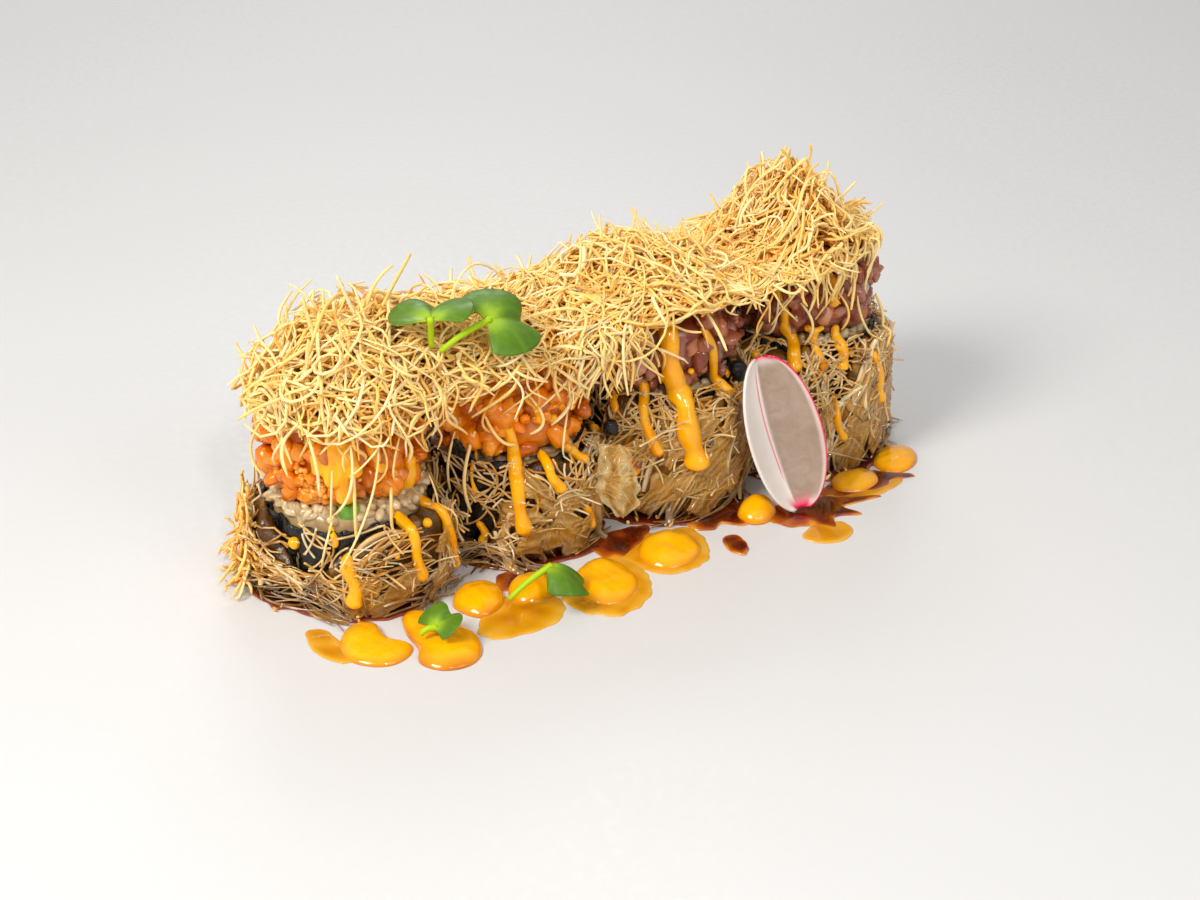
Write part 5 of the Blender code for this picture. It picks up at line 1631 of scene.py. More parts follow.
@dataclass
class FootCurtain:
    """Golden shreds that hang from the first slice's rim at its free end and flare out at the foot."""

    piece_of: Slice
    count: int = 150
    middle: float = -86.0
    half: float = 26.0

    def build(self, finish: Material) -> None:
        """Bent shreds over the coat's end, mostly running down, the lowest thrown outwards at their tips."""
        s = self.piece_of
        draw = np.random.default_rng(450)
        steps, n = 12, self.count
        share = np.linspace(-0.5, 0.5, steps)
        heading = draw.normal(-1.3, 0.9, (n, 1)) + draw.normal(0, 2.6, (n, 1)) * share
        heading = heading + draw.normal(0, 0.5, (n, 1)) * np.sin(share * 9 + draw.uniform(0, 6.3, (n, 1)))
        u, v = bent(heading, draw.uniform(0.005, 0.014, (n, 1)))
        base = 0.0035 + 0.0175 * draw.uniform(0, 1, (n, 1)) ** 1.4
        angle = FRONT + np.radians(self.middle + draw.uniform(-self.half, self.half, (n, 1)))
        angle = angle + u / 0.024
        height = np.clip(base + v, 0.0012, 0.0235)
        low = np.clip((0.013 - base) / 0.006, 0, 1)
        flare = (0.0012 + 0.0070 * low * draw.uniform(0, 1, (n, 1))) * (share + 0.5) ** 1.8
        radius = s.coat_radius(angle) + 0.0010 * draw.normal(size=(n, 1)) + flare
        radius = np.minimum(radius, 0.0312)
        radii = 0.00036 * draw.uniform(0.75, 1.15, (n, 1)) * (1 - 0.4 * (2 * np.abs(share)) ** 6)
        tints = np.clip(draw.normal(0.50, 0.15, (n, 1)) - 0.1 * share, 0, 1)
        shape = strands(s.at(angle, radius, height), radii, 5, tints)
        shape.piece("foot_shreds", finish, [f"coat_{s.number}"], "coat")


# Mayonnaise and sauces
@dataclass(frozen=True)
class Run:
    """A run of mayonnaise: slice, angle from FRONT, top, foot, half width, and how far it leans sideways."""

    slice: int
    offset: float
    top: float
    foot: float
    half: float
    lean: float = 0.0


RUNS = (
    Run(1, 7, 0.0163, 0.0036, 0.0022, 1), Run(1, 43, 0.0295, 0.0060, 0.0018, 3),
    Run(1, 68, 0.0325, 0.0200, 0.0027, 3), Run(1, 73, 0.0230, 0.0020, 0.0018, 4),
    Run(1, 4, 0.0450, 0.0260, 0.0027, 2), Run(1, -2, 0.0450, 0.0305, 0.0026, 2),
    Run(1, 10, 0.0440, 0.0325, 0.0024, 2), Run(1, 30, 0.0460, 0.0315, 0.0018, 4),
    Run(1, -3, 0.0205, 0.0172, 0.0012, 3), Run(1, -18, 0.0440, 0.0330, 0.0019, 5),
    Run(1, 56, 0.0300, 0.0262, 0.0012, -14), Run(2, 11, 0.0365, 0.0088, 0.0022, 4),
    Run(2, 32, 0.0272, 0.0185, 0.0017, 3), Run(2, 54, 0.0295, 0.0215, 0.0016, 5),
    Run(2, 58, 0.0125, 0.0045, 0.0014, 4), Run(2, -11, 0.0105, 0.0052, 0.0014, 1),
    Run(2, -17, 0.0290, 0.0170, 0.0008, 1), Run(2, 26, 0.0420, 0.0350, 0.0015, 6),
    Run(3, -4, 0.0360, 0.0178, 0.0018, 6), Run(3, 12, 0.0500, 0.0300, 0.0033, 5),
    Run(3, 20, 0.0340, 0.0143, 0.0035, 3), Run(3, -27, 0.0318, 0.0284, 0.0013, 6),
    Run(3, 45, 0.0478, 0.0290, 0.0016, 9), Run(3, 61, 0.0290, 0.0198, 0.0013, 5),
    Run(3, -12, 0.0170, 0.0130, 0.0014, 2), Run(4, -9, 0.0400, 0.0292, 0.0022, 6),
    Run(4, 9, 0.0385, 0.0282, 0.0016, 2), Run(4, 27, 0.0385, 0.0272, 0.0018, 1),
    Run(4, 53, 0.0315, 0.0155, 0.0018, 6), Run(4, 24, 0.0206, 0.0085, 0.0014, 3),
    Run(4, -17, 0.0490, 0.0380, 0.0016, 4), Run(4, 20, 0.0530, 0.0440, 0.0016, 3),
    Run(2, 100, 0.0240, 0.0120, 0.0017, 3), Run(3, 150, 0.0320, 0.0200, 0.0018, 3),
    Run(1, 170, 0.0220, 0.0120, 0.0017, 3), Run(4, 190, 0.0340, 0.0210, 0.0017, 3),
    Run(4, 130, 0.0420, 0.0300, 0.0018, 3), Run(2, 175, 0.0330, 0.0230, 0.0017, 3),
)
SAUCED_TIPS = ((2, 15, 0.0092), (3, -1, 0.0180), (3, -12, 0.0150), (4, -14, 0.0300), (4, 12, 0.0285))


@dataclass
class MayonnaiseRuns:
    """Thick mayonnaise that has run down one slice's fish and coat, ending in beads."""

    piece_of: Slice

    def one(self, run: Run, seed: int) -> Shape:
        """A run as a strand of uneven thickness that follows the slice's side, with a bead at its foot."""
        s, steps = self.piece_of, 26
        draw = np.random.default_rng(seed)
        share = np.linspace(0, 1, steps)
        height = run.top + (run.foot - run.top) * share
        sway = 1.3 * np.sin(share * 7 + draw.uniform(0, 6))
        angle = FRONT + np.radians(run.offset + run.lean * (share - 0.5) * 2 + sway)
        bead = np.exp(-(((share - 0.93) / 0.10) ** 2))
        waves = 0.07 * np.sin(share * 11 + draw.uniform(0, 6)) * (1 - bead)
        radii = run.half * (0.60 + 0.16 * np.sin(math.pi * share) + waves + 0.36 * bead)
        radii = radii * np.clip(share * 9 + 0.35, 0, 1) * np.clip((1 - share) * 7 + 0.42, 0, 1)
        path = s.at(angle, s.side(angle, height) + 0.30 * radii, height)
        return strands(path[None], radii[None], 14, np.array([0.6]))

    def build(self, finish: Material) -> None:
        """All the slice's runs, melted into one skin."""
        s = self.piece_of
        shapes = [self.one(run, 500 + i) for i, run in enumerate(RUNS) if run.slice == s.number]
        draw = np.random.default_rng(544 + s.number)
        angle = FRONT + np.radians(draw.uniform(-60, 80, 5))
        height = draw.uniform(s.height - 0.006, s.height + 0.012, 5)
        spots = s.at(angle, s.side(angle, height) + 0.0002, height)
        size = draw.uniform(0.0008, 0.0016, 5)[:, None] * np.ones((5, 3))
        shapes.append(lumps(spots, turned_axes(draw, 5), size, np.full(5, 0.6), (7, 10), 2.0, 0.1, 530))
        made = melted(shapes, 0.00042, 5)
        made.values["sauce"] = np.zeros(len(made.points))
        for number, offset, height in SAUCED_TIPS:
            if number == s.number:
                angle = FRONT + math.radians(offset)
                tip = s.at(angle, s.side(np.array([angle]), np.array([height]))[0], height)
                far = np.linalg.norm(made.points - tip, axis=1)
                made.values["sauce"] = np.maximum(made.values["sauce"], np.clip(1.3 - far / 0.0026, 0, 0.95))
        node = f"{s.fish.value}_{s.number}"
        made.piece(f"mayonnaise_runs_{s.number}", finish, [node], "mayonnaise")


@dataclass(frozen=True)
class Pool:
    """A pool of mayonnaise: its outline in millimetres, its height, and bumps as place, width and share."""

    height: float
    outline: tuple[tuple[float, float], ...]
    bumps: tuple[tuple[float, float, float, float], ...] = ()


POOLS = (
    Pool(0.0026, ((-77.5, -25.0), (-73.6, -23.6), (-70.6, -26.0), (-71.0, -31.0), (-70.0, -35.4),
                  (-67.6, -38.2), (-70.1, -41.4), (-75.0, -42.4), (-79.5, -39.7), (-82.0, -35.0),
                  (-81.0, -29.6)), ((-76.0, -30.0, 4.0, 0.5), (-74.0, -39.0, 3.5, 0.3))),
    Pool(0.0030, ((-64.6, -27.2), (-61.6, -25.5), (-58.8, -27.5), (-58.8, -33.0), (-55.2, -36.8),
                  (-53.6, -42.0), (-56.0, -48.6), (-60.6, -51.4), (-66.2, -50.0), (-69.2, -45.0),
                  (-67.0, -39.5), (-66.6, -33.9)), ((-61.5, -46.0, 5.0, 0.6), (-62.0, -30.0, 3.5, 0.2))),
    Pool(0.0032, ((-49.0, -23.6), (-44.8, -22.0), (-40.6, -24.0), (-39.8, -29.0), (-43.0, -34.6),
                  (-48.2, -36.4), (-51.4, -33.0), (-52.2, -28.3)), ((-46.0, -30.0, 4.0, 0.5),)),
    Pool(0.0030, ((-38.0, -28.4), (-34.5, -25.8), (-29.6, -26.4), (-26.8, -30.0), (-28.6, -35.4),
                  (-33.6, -37.6), (-38.0, -36.4), (-39.6, -32.4)), ((-33.0, -31.0, 4.0, 0.5),)),
    Pool(0.0028, ((-24.5, -33.6), (-19.6, -29.6), (-13.9, -28.0), (-10.8, -32.0), (-10.4, -38.0),
                  (-12.6, -43.5), (-16.8, -46.6), (-21.8, -47.0), (-25.6, -43.6), (-26.6, -38.5)),
         ((-16.0, -32.5, 3.6, 0.7), (-21.0, -40.5, 4.0, 0.5), (-13.5, -40.0, 3.0, 0.3))),
    Pool(0.0034, ((0.4, -26.6), (6.1, -25.8), (9.7, -28.1), (10.4, -32.6), (8.8, -37.7), (4.0, -41.0),
                  (-1.4, -41.5), (-4.8, -38.3), (-5.6, -33.6), (-3.4, -29.4)),
         ((3.0, -31.0, 3.4, 0.6), (-1.0, -36.5, 3.0, 0.4))),
    Pool(0.0042, ((29.0, -25.4), (33.6, -24.2), (36.2, -27.2), (34.6, -32.2), (30.1, -35.0), (26.2, -33.8),
                  (25.0, -29.5)), ((30.5, -29.0, 3.0, 0.6),)),
    Pool(0.0028, ((56.3, -26.0), (61.0, -25.0), (65.9, -26.4), (66.9, -30.0), (64.6, -33.8), (59.5, -35.4),
                  (55.0, -34.1), (53.0, -30.6)), ((60.5, -31.0, 3.2, 0.7),)),
    Pool(0.0022, ((73.4, -21.6), (78.2, -19.6), (82.6, -21.5), (83.0, -25.8), (79.6, -30.2), (74.7, -32.2),
                  (70.4, -30.6), (69.6, -25.7)), ((77.0, -25.5, 3.5, 0.4),)),
)


def pushed_clear(edge: Array, clearance: float) -> Array:
    """Moves outline points outwards from any slice whose coat they would run under.

    Args:
        edge: points on the ground, shape (points, 2).
        clearance: how far from the coat they stay.

    Returns:
        The moved points.
    """
    for s in SLICES:
        away = edge - (s.x, s.y)
        far = np.linalg.norm(away, axis=1)
        wanted = s.coat_radius(np.arctan2(away[:, 1], away[:, 0])) + clearance
        edge = edge + away / far[:, None] * np.maximum(0, wanted - far)[:, None]
    return edge


def puddle(outline: Array, thick: float, power: float, bumps: Sequence = ()) -> tuple[Array, Array]:
    """A low drop over an outline: thick x (1 - s^power)^0.5 and soft bumps, s going out from its middle.

    Args:
        outline: points on the ground, in metres.
        thick: its height.
        power: higher for a flatter top and a steeper edge.
        bumps: x, y, width in millimetres and share of the height of each.

    Returns:
        The rings for skin(), and the share s of each ring.
    """
    middle = outline.mean(0)
    share = np.concatenate([[0.0, 0.6, 0.95], 1 - np.linspace(0, 1, 22)[:-1] ** 1.6])[:, None]
    flat = middle + (outline - middle)[None] * share[..., None]
    bump = sum(h * np.exp(-((flat[..., 0] / MM - x) ** 2 + (flat[..., 1] / MM - y) ** 2) / w**2)
               for x, y, w, h in bumps)
    rise = thick * (1 - share**power) ** 0.5 * (0.78 + 0.5 * bump)
    rise = np.where(np.arange(len(share))[:, None] < 3, 0.0, np.maximum(rise, 0.0))
    return np.dstack([flat, rise + 0 * flat[..., 0]]), share


@dataclass
class MayonnaisePool:
    """One low bead of mayonnaise that has run to a stop on the surface."""

    index: int
    spec: Pool

    def build(self, finish: Material) -> None:
        """A puddle over the pool's outline, darker at its edge with painted shade, and browner there and in
        patches where the glaze meets it.
        """
        edge = pushed_clear(closed_curve(self.spec.outline, 84) * MM, -0.0002)
        rings, share = puddle(edge, self.spec.height, 2.8, self.spec.bumps)
        rings[3:, :, 2] += (0.00008 * swell(rings, 0.004, 600 + self.index))[3:] * (1 - share[3:] ** 4)
        rings[..., 2] = np.maximum(rings[..., 2], 0)
        rim = np.clip((share - 0.80) / 0.2, 0, 1) * (np.arange(len(share))[:, None] > 2) + 0 * rings[..., 2]
        stain = np.clip(swell(rings, 0.012, 610 + self.index) - 0.5, 0, 1) * 0.5 * np.clip(share * 1.3, 0, 1)
        # painted shade: the tint darkens towards the rim; the sauce at the rim and in the stain patches is
        # glaze
        values = {"tint": 0.70 - 0.30 * rim, "sauce": np.clip(0.32 * rim**2 + stain * 0.6, 0, 0.8)}
        skin(rings, values=values).piece(f"mayonnaise_drop_{self.index}", finish,
                                         [f"mayonnaise_pool_{self.index}"], "mayonnaise")


AMBER_OUTLINES = (
    ((-52.6, -40.6), (-47.0, -33.6), (-42.2, -31.2), (-36.5, -32.1), (-31.7, -35.1), (-30.0, -39.8),
     (-33.5, -45.0), (-39.8, -47.0), (-46.5, -46.5), (-51.3, -44.2)),
    ((-29.4, -38.3), (-25.3, -33.0), (-19.8, -29.3), (-12.8, -28.0), (-8.1, -31.3), (-6.9, -38.4),
     (-9.6, -45.1), (-15.4, -50.0), (-21.7, -51.6), (-26.7, -48.4), (-29.2, -43.9)),
    ((-84.4, -20.3), (-86.6, -26.2), (-86.0, -31.8), (-83.2, -36.0), (-79.4, -35.5), (-80.0, -28.0),
     (-81.0, -22.0)),
    ((34.1, -43.6), (39.4, -41.9), (45.1, -43.8), (45.8, -48.1), (41.1, -51.4), (36.0, -50.2),
     (33.0, -47.0)),
    ((48.0, -33.0), (55.0, -30.0), (64.0, -29.0), (70.5, -31.0), (71.0, -35.5), (63.0, -38.0),
     (54.0, -38.5), (49.0, -37.0)),
    ((-9.5, -27.5), (-2.0, -24.0), (6.0, -24.6), (12.0, -27.0), (13.0, -33.0), (9.0, -41.0), (2.0, -43.5),
     (-5.5, -40.5), (-8.5, -34.0)),
)
GLAZE_OUTLINES = (
    ((-38.0, -22.5), (-32.3, -22.0), (-26.8, -22.8), (-22.1, -25.0), (-22.5, -29.8), (-29.1, -32.4),
     (-33.7, -30.3), (-39.5, -28.3)),
    ((-12.0, -20.0), (-5.0, -18.6), (4.7, -20.6), (1.5, -25.6), (-3.4, -28.8), (-9.8, -30.7),
     (-12.4, -27.0)),
    ((13.0, -24.0), (22.3, -23.0), (32.0, -24.0), (29.1, -30.0), (24.4, -33.2), (20.4, -29.6),
     (17.0, -31.0), (13.5, -28.5)),
    ((32.4, -30.9), (39.8, -28.7), (47.0, -30.5), (53.6, -34.6), (62.0, -38.9), (55.0, -38.6),
     (50.3, -38.4), (52.0, -43.8), (45.5, -41.5), (42.0, -46.5), (38.3, -42.0), (33.3, -39.6),
     (30.4, -35.2)),
    ((49.6, -29.9), (56.9, -26.4), (64.7, -26.6), (69.4, -29.0), (76.0, -35.5), (70.0, -34.2),
     (64.8, -36.4), (57.6, -35.6), (51.5, -34.4)),
    ((16.4, -35.5), (20.2, -36.0), (19.6, -41.5), (16.6, -44.6), (14.6, -41.0)),
)


@dataclass
class SauceFilms:
    """The thin amber sauce and the dark glaze that have spread round the foot of the row."""

    def film(self, marks: tuple, thick: float, seed: int) -> Shape:
        """A thin puddle with a round edge, darker in the middle where it is thicker."""
        edge = closed_curve(marks, 84) * MM
        middle = edge.mean(0)
        wobble = 1 + 0.03 * swell(np.c_[edge, 0 * edge[:, 0]], 0.004, seed)
        edge = middle + (edge - middle) * wobble[:, None]
        rings, share = puddle(edge, thick, 8.0)
        place = rings * (1, 1, 0)
        tint = np.clip(0.25 + 0.18 * swell(place, 0.006, seed + 1) + 0.65 * share**3, 0, 1)
        return skin(rings, values={"tint": tint})

    def foot_ring(self, s: Slice, middle: float, half: float, width: float) -> Shape:
        """Glaze that creeps out from under a coat: a strip along its foot with a rounded outer edge."""
        angle = FRONT + np.radians(np.linspace(middle - half, middle + half, 70))[:, None]
        fade = np.clip(1 - ((np.linspace(-1, 1, 70)[:, None]) ** 2), 0, 1) ** 0.5
        inner = s.coat_radius(angle) - 0.0022
        uneven = 1 + 0.35 * swell(s.at(angle, 0.022, 0.0), 0.006, 640 + s.number).reshape(70, 1)
        spread = 0.0022 + width * fade * uneven
        share = np.array([0.0, 0.5, 0.8, 0.94, 1.0, 0.94, 0.0])[None]
        lift = np.array([0.0009, 0.0008, 0.0007, 0.0004, 0.0001, 0.0, 0.0])[None] * (0.35 + 0.65 * fade)
        rings = s.at(angle, inner + spread * share, lift)
        return skin(rings, values={"tint": 0.12 + 0.55 * np.clip(share, 0, 1) ** 4 + 0 * lift})

    def build(self, amber: Material, glaze: Material) -> None:
        """All the amber films as one piece and all the glaze as another.

        Args:
            amber: the thin sauce's finish.
            glaze: the dark glaze's finish.
        """
        films = [self.film(marks, 0.0006, 650 + 7 * i) for i, marks in enumerate(AMBER_OUTLINES)]
        Shape.joined(films).piece("amber_sauce", amber, slot="mayonnaise")
        strips = ((1, -10, 60, 0.0018), (2, 20, 50, 0.0012), (2, 62, 26, 0.0022), (3, -45, 30, 0.0026),
                  (3, 20, 50, 0.0026), (4, -30, 36, 0.0030), (4, 30, 50, 0.0030))
        shapes = [self.foot_ring(SLICES[n - 1], m, h, w) for n, m, h, w in strips]
        shapes += [self.film(marks, 0.0008, 700 + 7 * i) for i, marks in enumerate(GLAZE_OUTLINES)]
        Shape.joined(shapes).piece("soy_glaze", glaze, slot="coat")


# Leaves, radish and small things
@dataclass(frozen=True)
class Sprout:
    """A seed leaf on its stem, in the same terms as the solid's."""

    name: str
    root: tuple[float, float, float]
    joint: tuple[float, float, float]
    heading: float
    pitch: float
    roll: float
    radius: float
    droop: float
    fold: float
    on_top: bool

    def leaf(self, across: Array, shares: Array) -> Array:
        """The leaf's middle surface: a fan of 108 degrees either way whose reach is notched at its middle.

        Args:
            across: -1 to 1 over the fan.
            shares: 0 at the joint to 1 at the edge.

        Returns:
            Points, shape (shares, across, 3).
        """
        yaw, pitch, roll = (math.radians(a) for a in (self.heading, self.pitch, self.roll))
        ahead = np.array([math.cos(yaw) * math.cos(pitch), math.sin(yaw) * math.cos(pitch), math.sin(pitch)])
        level = np.array([-math.sin(yaw), math.cos(yaw), 0.0])
        side = level * math.cos(roll) + np.cross(ahead, level) * math.sin(roll)
        up = np.cross(ahead, side)
        fan, share = across[None] * math.radians(108), shares[:, None]
        lobes = 1 - 0.30 * np.exp(-((across[None] / 0.16) ** 2)) - 0.34 * np.abs(across[None]) ** 3
        reach = self.radius * lobes * share
        lift = self.fold * np.abs(np.sin(fan)) * share - self.droop * share**2 * np.abs(np.cos(fan * 0.5))
        lift = lift + 0.0004 * np.sin(across[None] * 7) * share
        lift = lift - 0.0004 * np.exp(-((across[None] / 0.05) ** 2)) * share
        flat = (reach * np.cos(fan))[..., None] * ahead + (reach * np.sin(fan))[..., None] * side
        return np.array(self.joint) + flat + lift[..., None] * up

    def build(self, finish: Material) -> None:
        """The leaf as a slab with a paler underside and veins, and the stem as a strand."""
        across, shares = np.linspace(-1, 1, 65), np.concatenate([[0.10], np.linspace(0.16, 1.0, 20)])
        middle = self.leaf(across, shares)
        out = shares[:, None]
        veins = np.exp(-((np.sin(across[None] * 9 + out * 2.5) / 0.22) ** 2)) * out * 0.10
        centre = np.exp(-((across[None] / 0.035) ** 2)) * 0.22 + np.exp(-(((out - 0.1) / 0.34) ** 2)) * 0.5
        tint = 0.18 + veins + centre
        half = 0.00026 * (1 - 0.6 * out**8) + 0 * across[None]
        leaf = slab(middle, half, {"tint": tint, "tint_under": tint + 0.38})
        share = np.linspace(0, 1.08, 10)[:, None]
        root, joint = np.array(self.root), np.array(self.joint)
        bow = np.array([0, 0, 0.0006]) * np.sin(math.pi * np.minimum(share, 1))
        path = root + (joint - root) * share + bow
        stem = strands(path[None], np.linspace(0.00062, 0.00078, 10)[None], 10, np.array([0.92]))
        name = self.name.replace("sprout", "seed_leaf")
        Shape.joined([leaf, stem]).piece(name, finish, [self.name], "leaf")


SPROUTS = (
    Sprout("sprout_top_left", (-0.0490, -0.0165, 0.0590), (-0.0500, -0.0185, 0.0662), 58, 12, -6, 0.0110,
           0.0020, 0.0020, True),
    Sprout("sprout_top_right", (-0.0478, -0.0185, 0.0585), (-0.0378, -0.0212, 0.0642), -4, 8, 24, 0.0122,
           0.0045, 0.0020, True),
    Sprout("sprout_front_left", (-0.0662, -0.0398, 0.0038), (-0.0632, -0.0408, 0.0050), 10, 34, 0, 0.0066,
           0.0010, 0.0010, False),
    Sprout("sprout_front_right", (-0.0430, -0.0380, 0.0042), (-0.0335, -0.0390, 0.0098), -20, 10, -8,
           0.0084, 0.0075, 0.0010, False),
)


@dataclass
class RadishSlice:
    """A long thin slice of radish that leans on the row, its left side curled forward."""

    foot: tuple[float, float, float] = (0.0400, -0.0348, 0.0014)
    top: tuple[float, float, float] = (0.0340, -0.0236, 0.0385)
    half_width: float = 0.0096
    half_thickness: float = 0.00045
    facing: float = math.radians(-122)

    def middle(self, across: Array, latitude: Array) -> Array:
        """The middle surface: an oval about a leaning line, with its left side bent towards the viewer.

        Args:
            across: -1 to 1 from left to right, shape (columns,).
            latitude: -1 to 1 from foot to top, shape (rows,).

        Returns:
            Points, shape (rows, columns, 3).
        """
        foot, top = np.array(self.foot), np.array(self.top)
        along = unit(top - foot)
        facing = np.array([math.cos(self.facing), math.sin(self.facing), 0.0])
        facing = unit(facing - along * (facing @ along))
        right = np.cross(facing, along)
        right = -right if right[0] < 0 else right
        row, col = latitude[:, None], across[None]
        width = self.half_width * np.sqrt(np.maximum(0.0, 1 - (0.985 * row) ** 2)) + 0.0006
        left = np.where(col < -0.2, (-col - 0.2) * width, 0)
        curl = left**2 / 0.011 + 0.0016 * col**2 + 0.0006 * np.sin(row * 4.2 + col)
        bend = col * width + 0.35 * left
        spine = (foot + top) / 2 + along * (np.linalg.norm(top - foot) / 2 * row)[..., None]
        return spine + bend[..., None] * right + curl[..., None] * facing

    def build(self, finish: Material) -> None:
        """The slab, with its skin's dye round the rim, along the fold and at the foot."""
        across, latitude = np.linspace(-1, 1, 56), np.linspace(-1, 1, 64)
        row, col = latitude[:, None], across[None]
        out = np.maximum(np.abs(row), np.abs(col))
        rim = np.clip((out - 0.955) / 0.03, 0, 1) * (col > -0.62)
        fold = np.exp(-(((col + 0.36 + 0.05 * row) / 0.030) ** 2))
        fold = fold * np.clip((0.80 - np.abs(row - 0.15)) * 6, 0, 1)
        foot = np.exp(-(((row + 0.98) / 0.10) ** 2)) * np.clip((0.75 - np.abs(col + 0.05)) * 4, 0, 1)
        dye = np.clip(rim + 0.9 * fold + foot, 0, 1)
        glassy = np.clip((col + 0.30) * 8, 0, 1) * np.clip((1 - out) * 7, 0, 1)
        half = self.half_thickness * (0.55 + 0.45 * np.sqrt(np.clip(1 - out**8, 0, 1)))
        values = {"tint": 0.62 + 0 * row * col, "dye": dye + 0 * col, "glassy": glassy * 0.9}
        shape = slab(self.middle(across, latitude), half, values)
        shape.piece("radish_sliver", finish, ["radish_slice"], "radish")


@dataclass
class SmallThings:
    """The blown-up pastry sheet, the dark drops beside it and the crumbs."""

    def sheet(self) -> Shape:
        """A thin folded sheet, bellied forward, that hangs between the second and third slices."""
        across, along = np.linspace(-1, 1, 40)[None], np.linspace(-1, 1, 60)[:, None]
        top, low = np.array([-0.0052, -0.0212, 0.0252]), np.array([-0.0062, -0.0262, 0.0085])
        right, out = np.array([0.85, -0.527, 0.0]), unit(np.array([-0.45, -0.75, 0.30]))
        width = 0.0050 * np.sqrt(np.clip(1 - 0.9 * along**2, 0, 1)) * (1 + 0.12 * np.sin(along * 5))
        folds = 0.0005 * np.sin(across * 6 + 1.3 * np.sin(along * 3))
        folds = folds + 0.0001 * np.sin(across * 15 + along * 4)
        belly = 0.0026 * (1 - across**2) * (1 - 0.5 * along**2) + folds
        spine = (top + low) / 2 + (low - top) / 2 * along[..., None]
        middle = spine + (width * across)[..., None] * right + belly[..., None] * out
        middle = middle + (0.0003 * swell(middle, 0.0040, 811))[..., None] * out
        middle = middle + (0.0005 * swell(middle, 0.0040, 812))[..., None] * right
        # painted light and shade: the tint follows the same wave as the folds; it is also paler towards the
        # sheet's side edges
        tint = 0.45 + 0.55 * across**4 + 0.3 * np.sin(across * 6 + 1.3 * np.sin(along * 3))
        made = slab(middle, 0.00018 + 0 * width * across, {"tint": tint})
        made.values["sauce"] = np.zeros(len(made.points))
        return made

    def build(self, clear: Material, nori: Material, dry: Material) -> None:
        """Each as a piece of its own, set into what carries it.

        Args:
            clear: finish of the pastry sheet.
            nori: finish of the dark drops.
            dry: finish of the crumbs.
        """
        draw = np.random.default_rng(800)
        self.sheet().piece("pastry_bubble", clear, slot="coat")
        spots = np.array([[-0.0024, -0.0155, 0.0262], [0.0330, -0.0165, 0.0325]])
        sizes = np.array([[0.0020, 0.0019, 0.0020], [0.0026, 0.0024, 0.0027]])
        drops = lumps(spots, turned_axes(draw, 2), sizes, np.array([0.7, 0.7]), (24, 36), 2.0, 0.10, 803)
        drops.piece("nori_blisters", nori, slot="nori")
        count = 30
        near = draw.integers(0, 4, count)
        angle = FRONT + np.radians(draw.normal(0, 50, count))
        xs, ys = np.array([s.x for s in SLICES])[near], np.array([s.y for s in SLICES])[near]
        out = draw.uniform(0.0235, 0.0270, count)
        places = np.stack([xs + out * np.cos(angle), ys + out * np.sin(angle), np.full(count, 0.0007)], 1)
        halves = draw.uniform(0.0003, 0.0008, (count, 3)) * (1.8, 0.7, 0.6)
        places[:, 2] = halves.max(1) * 0.6 + 0.0002
        shape = lumps(places, turned_axes(draw, count), halves, draw.uniform(0.2, 0.8, count), (5, 7), 2.4,
                      0.15, 805)
        shape.piece("pastry_crumbs", dry, slot="crisp")


# Table, lights and camera
@dataclass(frozen=True)
class SoftBox:
    """A square studio light: where it stands, its size in metres and its power in watts."""

    name: str
    place: tuple[float, float, float]
    size: float
    power: float
    colour: str = "FFFFFF"


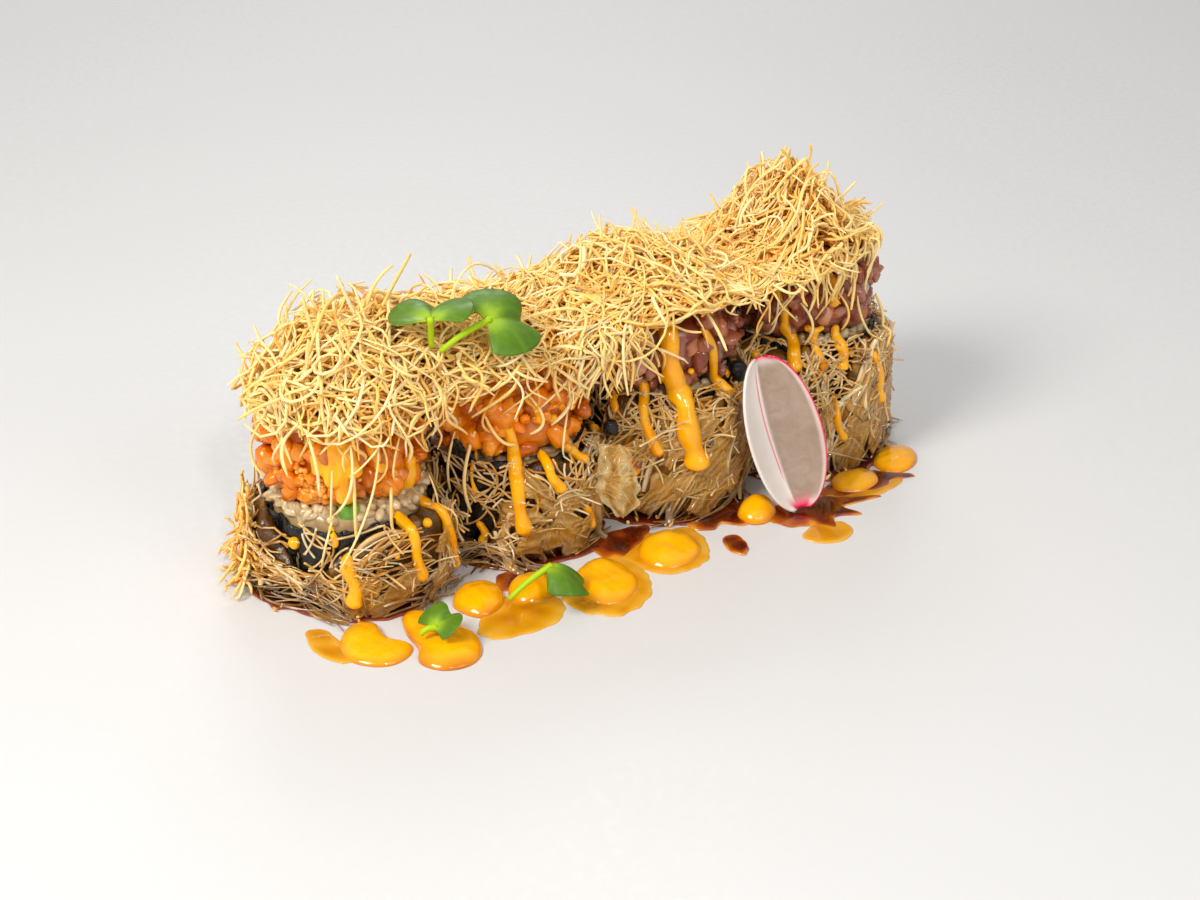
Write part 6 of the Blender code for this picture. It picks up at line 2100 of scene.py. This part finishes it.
@dataclass
class Studio:
    """The plain pale table, the soft light and the camera at the picture's angle."""

    camera_place: tuple[float, float, float] = (-0.2369, -0.3771, 0.255)
    camera_ahead: tuple[float, float, float] = (0.4653, 0.7504, -0.4695)
    lens: float = 63.6
    sky: float = 0.46
    boxes: tuple[SoftBox, ...] = (
        SoftBox("key_softbox", (-0.60, -0.12, 0.62), 0.30, 6.0, "FFFCF7"),
        SoftBox("front_softbox", (0.15, -0.78, 0.55), 0.40, 1.5, "FFFFFF"),
        SoftBox("spark_softbox", (-0.20, -0.62, 0.62), 0.06, 1.6, "FFFFFF"),
        SoftBox("rear_softbox", (0.35, 0.70, 0.55), 0.40, 1.8, "FFFFFF"),
    )

    def build(self, table: Material) -> None:
        """Makes the table, the lights, the sky and the camera.

        Args:
            table: the table's finish.
        """
        scene = bpy.context.scene
        across = np.linspace(-2.2, 2.2, 23)
        x, y = np.meshgrid(across, across, indexing="ij")
        index = np.arange(23 * 23).reshape(23, 23)
        quads = np.stack([index[:-1, :-1], index[1:, :-1], index[1:, 1:], index[:-1, 1:]], -1).reshape(-1, 4)
        points = np.stack([x.ravel(), y.ravel(), np.full(x.size, -0.00002)], 1)
        sheet = Shape(points, quads, np.zeros((0, 3), int), {"tint": np.full(x.size, 0.5)})
        floor = bpy.data.objects.new("studio_table", sheet.mesh("studio_table", np.zeros(3)))
        floor.data.materials.append(table)
        scene.collection.objects.link(floor)
        for box in self.boxes:
            light = bpy.data.lights.new(box.name, "AREA")
            light.shape, light.size, light.energy = "SQUARE", box.size, box.power
            light.color = linear(box.colour)[:3]
            stand = bpy.data.objects.new(box.name, light)
            stand.location = box.place
            aim = Vector((0, 0, 0.03)) - Vector(box.place)
            stand.rotation_euler = aim.to_track_quat("-Z", "Y").to_euler()
            scene.collection.objects.link(stand)
        world = bpy.data.worlds.new("white_room")
        world.use_nodes = True
        world.node_tree.nodes["Background"].inputs["Color"].default_value = linear("FFFFFF")
        world.node_tree.nodes["Background"].inputs["Strength"].default_value = self.sky
        scene.world = world
        scene.view_settings.view_transform = "Standard"
        lens = bpy.data.cameras.new("picture_camera")
        lens.lens, lens.sensor_width, lens.sensor_fit = self.lens, 36.0, "HORIZONTAL"
        lens.clip_start, lens.clip_end = 0.01, 20.0
        camera = bpy.data.objects.new("picture_camera", lens)
        camera.location = self.camera_place
        camera.rotation_euler = Vector(self.camera_ahead).to_track_quat("-Z", "Y").to_euler()
        scene.collection.objects.link(camera)
        scene.camera = camera


# Everything in order
def main() -> None:
    """Builds every piece, from the rice outwards, then the table, lights and camera."""
    logging.basicConfig(level=logging.INFO, format="%(name)s %(message)s")
    dry, deep = CRISP.material(), CRISP_PAINTED_DEPTH.material()
    wet, wet_deep, nori = SOAKED.material(), SOAKED_PAINTED_DEPTH.material(), NORI.material()
    rice, cucumber, roe = RICE.material(), CUCUMBER.material(), ROE.material()
    flesh = {Fish.SALMON: SALMON.material(), Fish.TUNA: TUNA.material()}
    mayonnaise, leaf = MAYONNAISE.material(), LEAF.material()
    jelly = JELLY.material()
    studio = Studio()
    camera = np.array(studio.camera_place) - ROW_TO_FRAME
    for s in SLICES:
        NoriBand(s).build(nori)
        RiceBed(s, bare={1: 8.0, 2: 52.0}.get(s.number, 180.0)).build(rice)
        ChoppedFish(s, beads=260 if s.number == 1 else 0).build(flesh[s.fish], roe)
        SoakedCoat(s).build(wet, wet_deep, jelly)
        MayonnaiseRuns(s).build(mayonnaise)
    for s, offset in ((SLICES[0], 8.0), (SLICES[1], 52.0)):
        CucumberBaton(s, offset).build(cucumber)
    FootCurtain(SLICES[0]).build(dry)
    fans = [sprout.leaf(np.linspace(-1, 1, 13), np.array([0.15, 0.5, 0.8, 1.0])).reshape(-1, 3)
            for sprout in SPROUTS if sprout.on_top]
    stems = [np.linspace(sprout.root, sprout.joint, 6)[1:] for sprout in SPROUTS if sprout.on_top]
    CrispHeap().build(dry, deep, np.concatenate(fans + stems), camera)
    for index, spec in enumerate(POOLS, 1):
        MayonnaisePool(index, spec).build(mayonnaise)
    SauceFilms().build(AMBER.material(), GLAZE.material())
    for sprout in SPROUTS:
        sprout.build(leaf)
    RadishSlice().build(RADISH.material())
    SmallThings().build(BLOWN.material(), nori, dry)
    studio.build(TABLE.material())


def write_sizes() -> None:
    """Brings the view layer up to date."""
    bpy.context.view_layer.update()


if __name__ == "__main__":
    main()
    write_sizes()
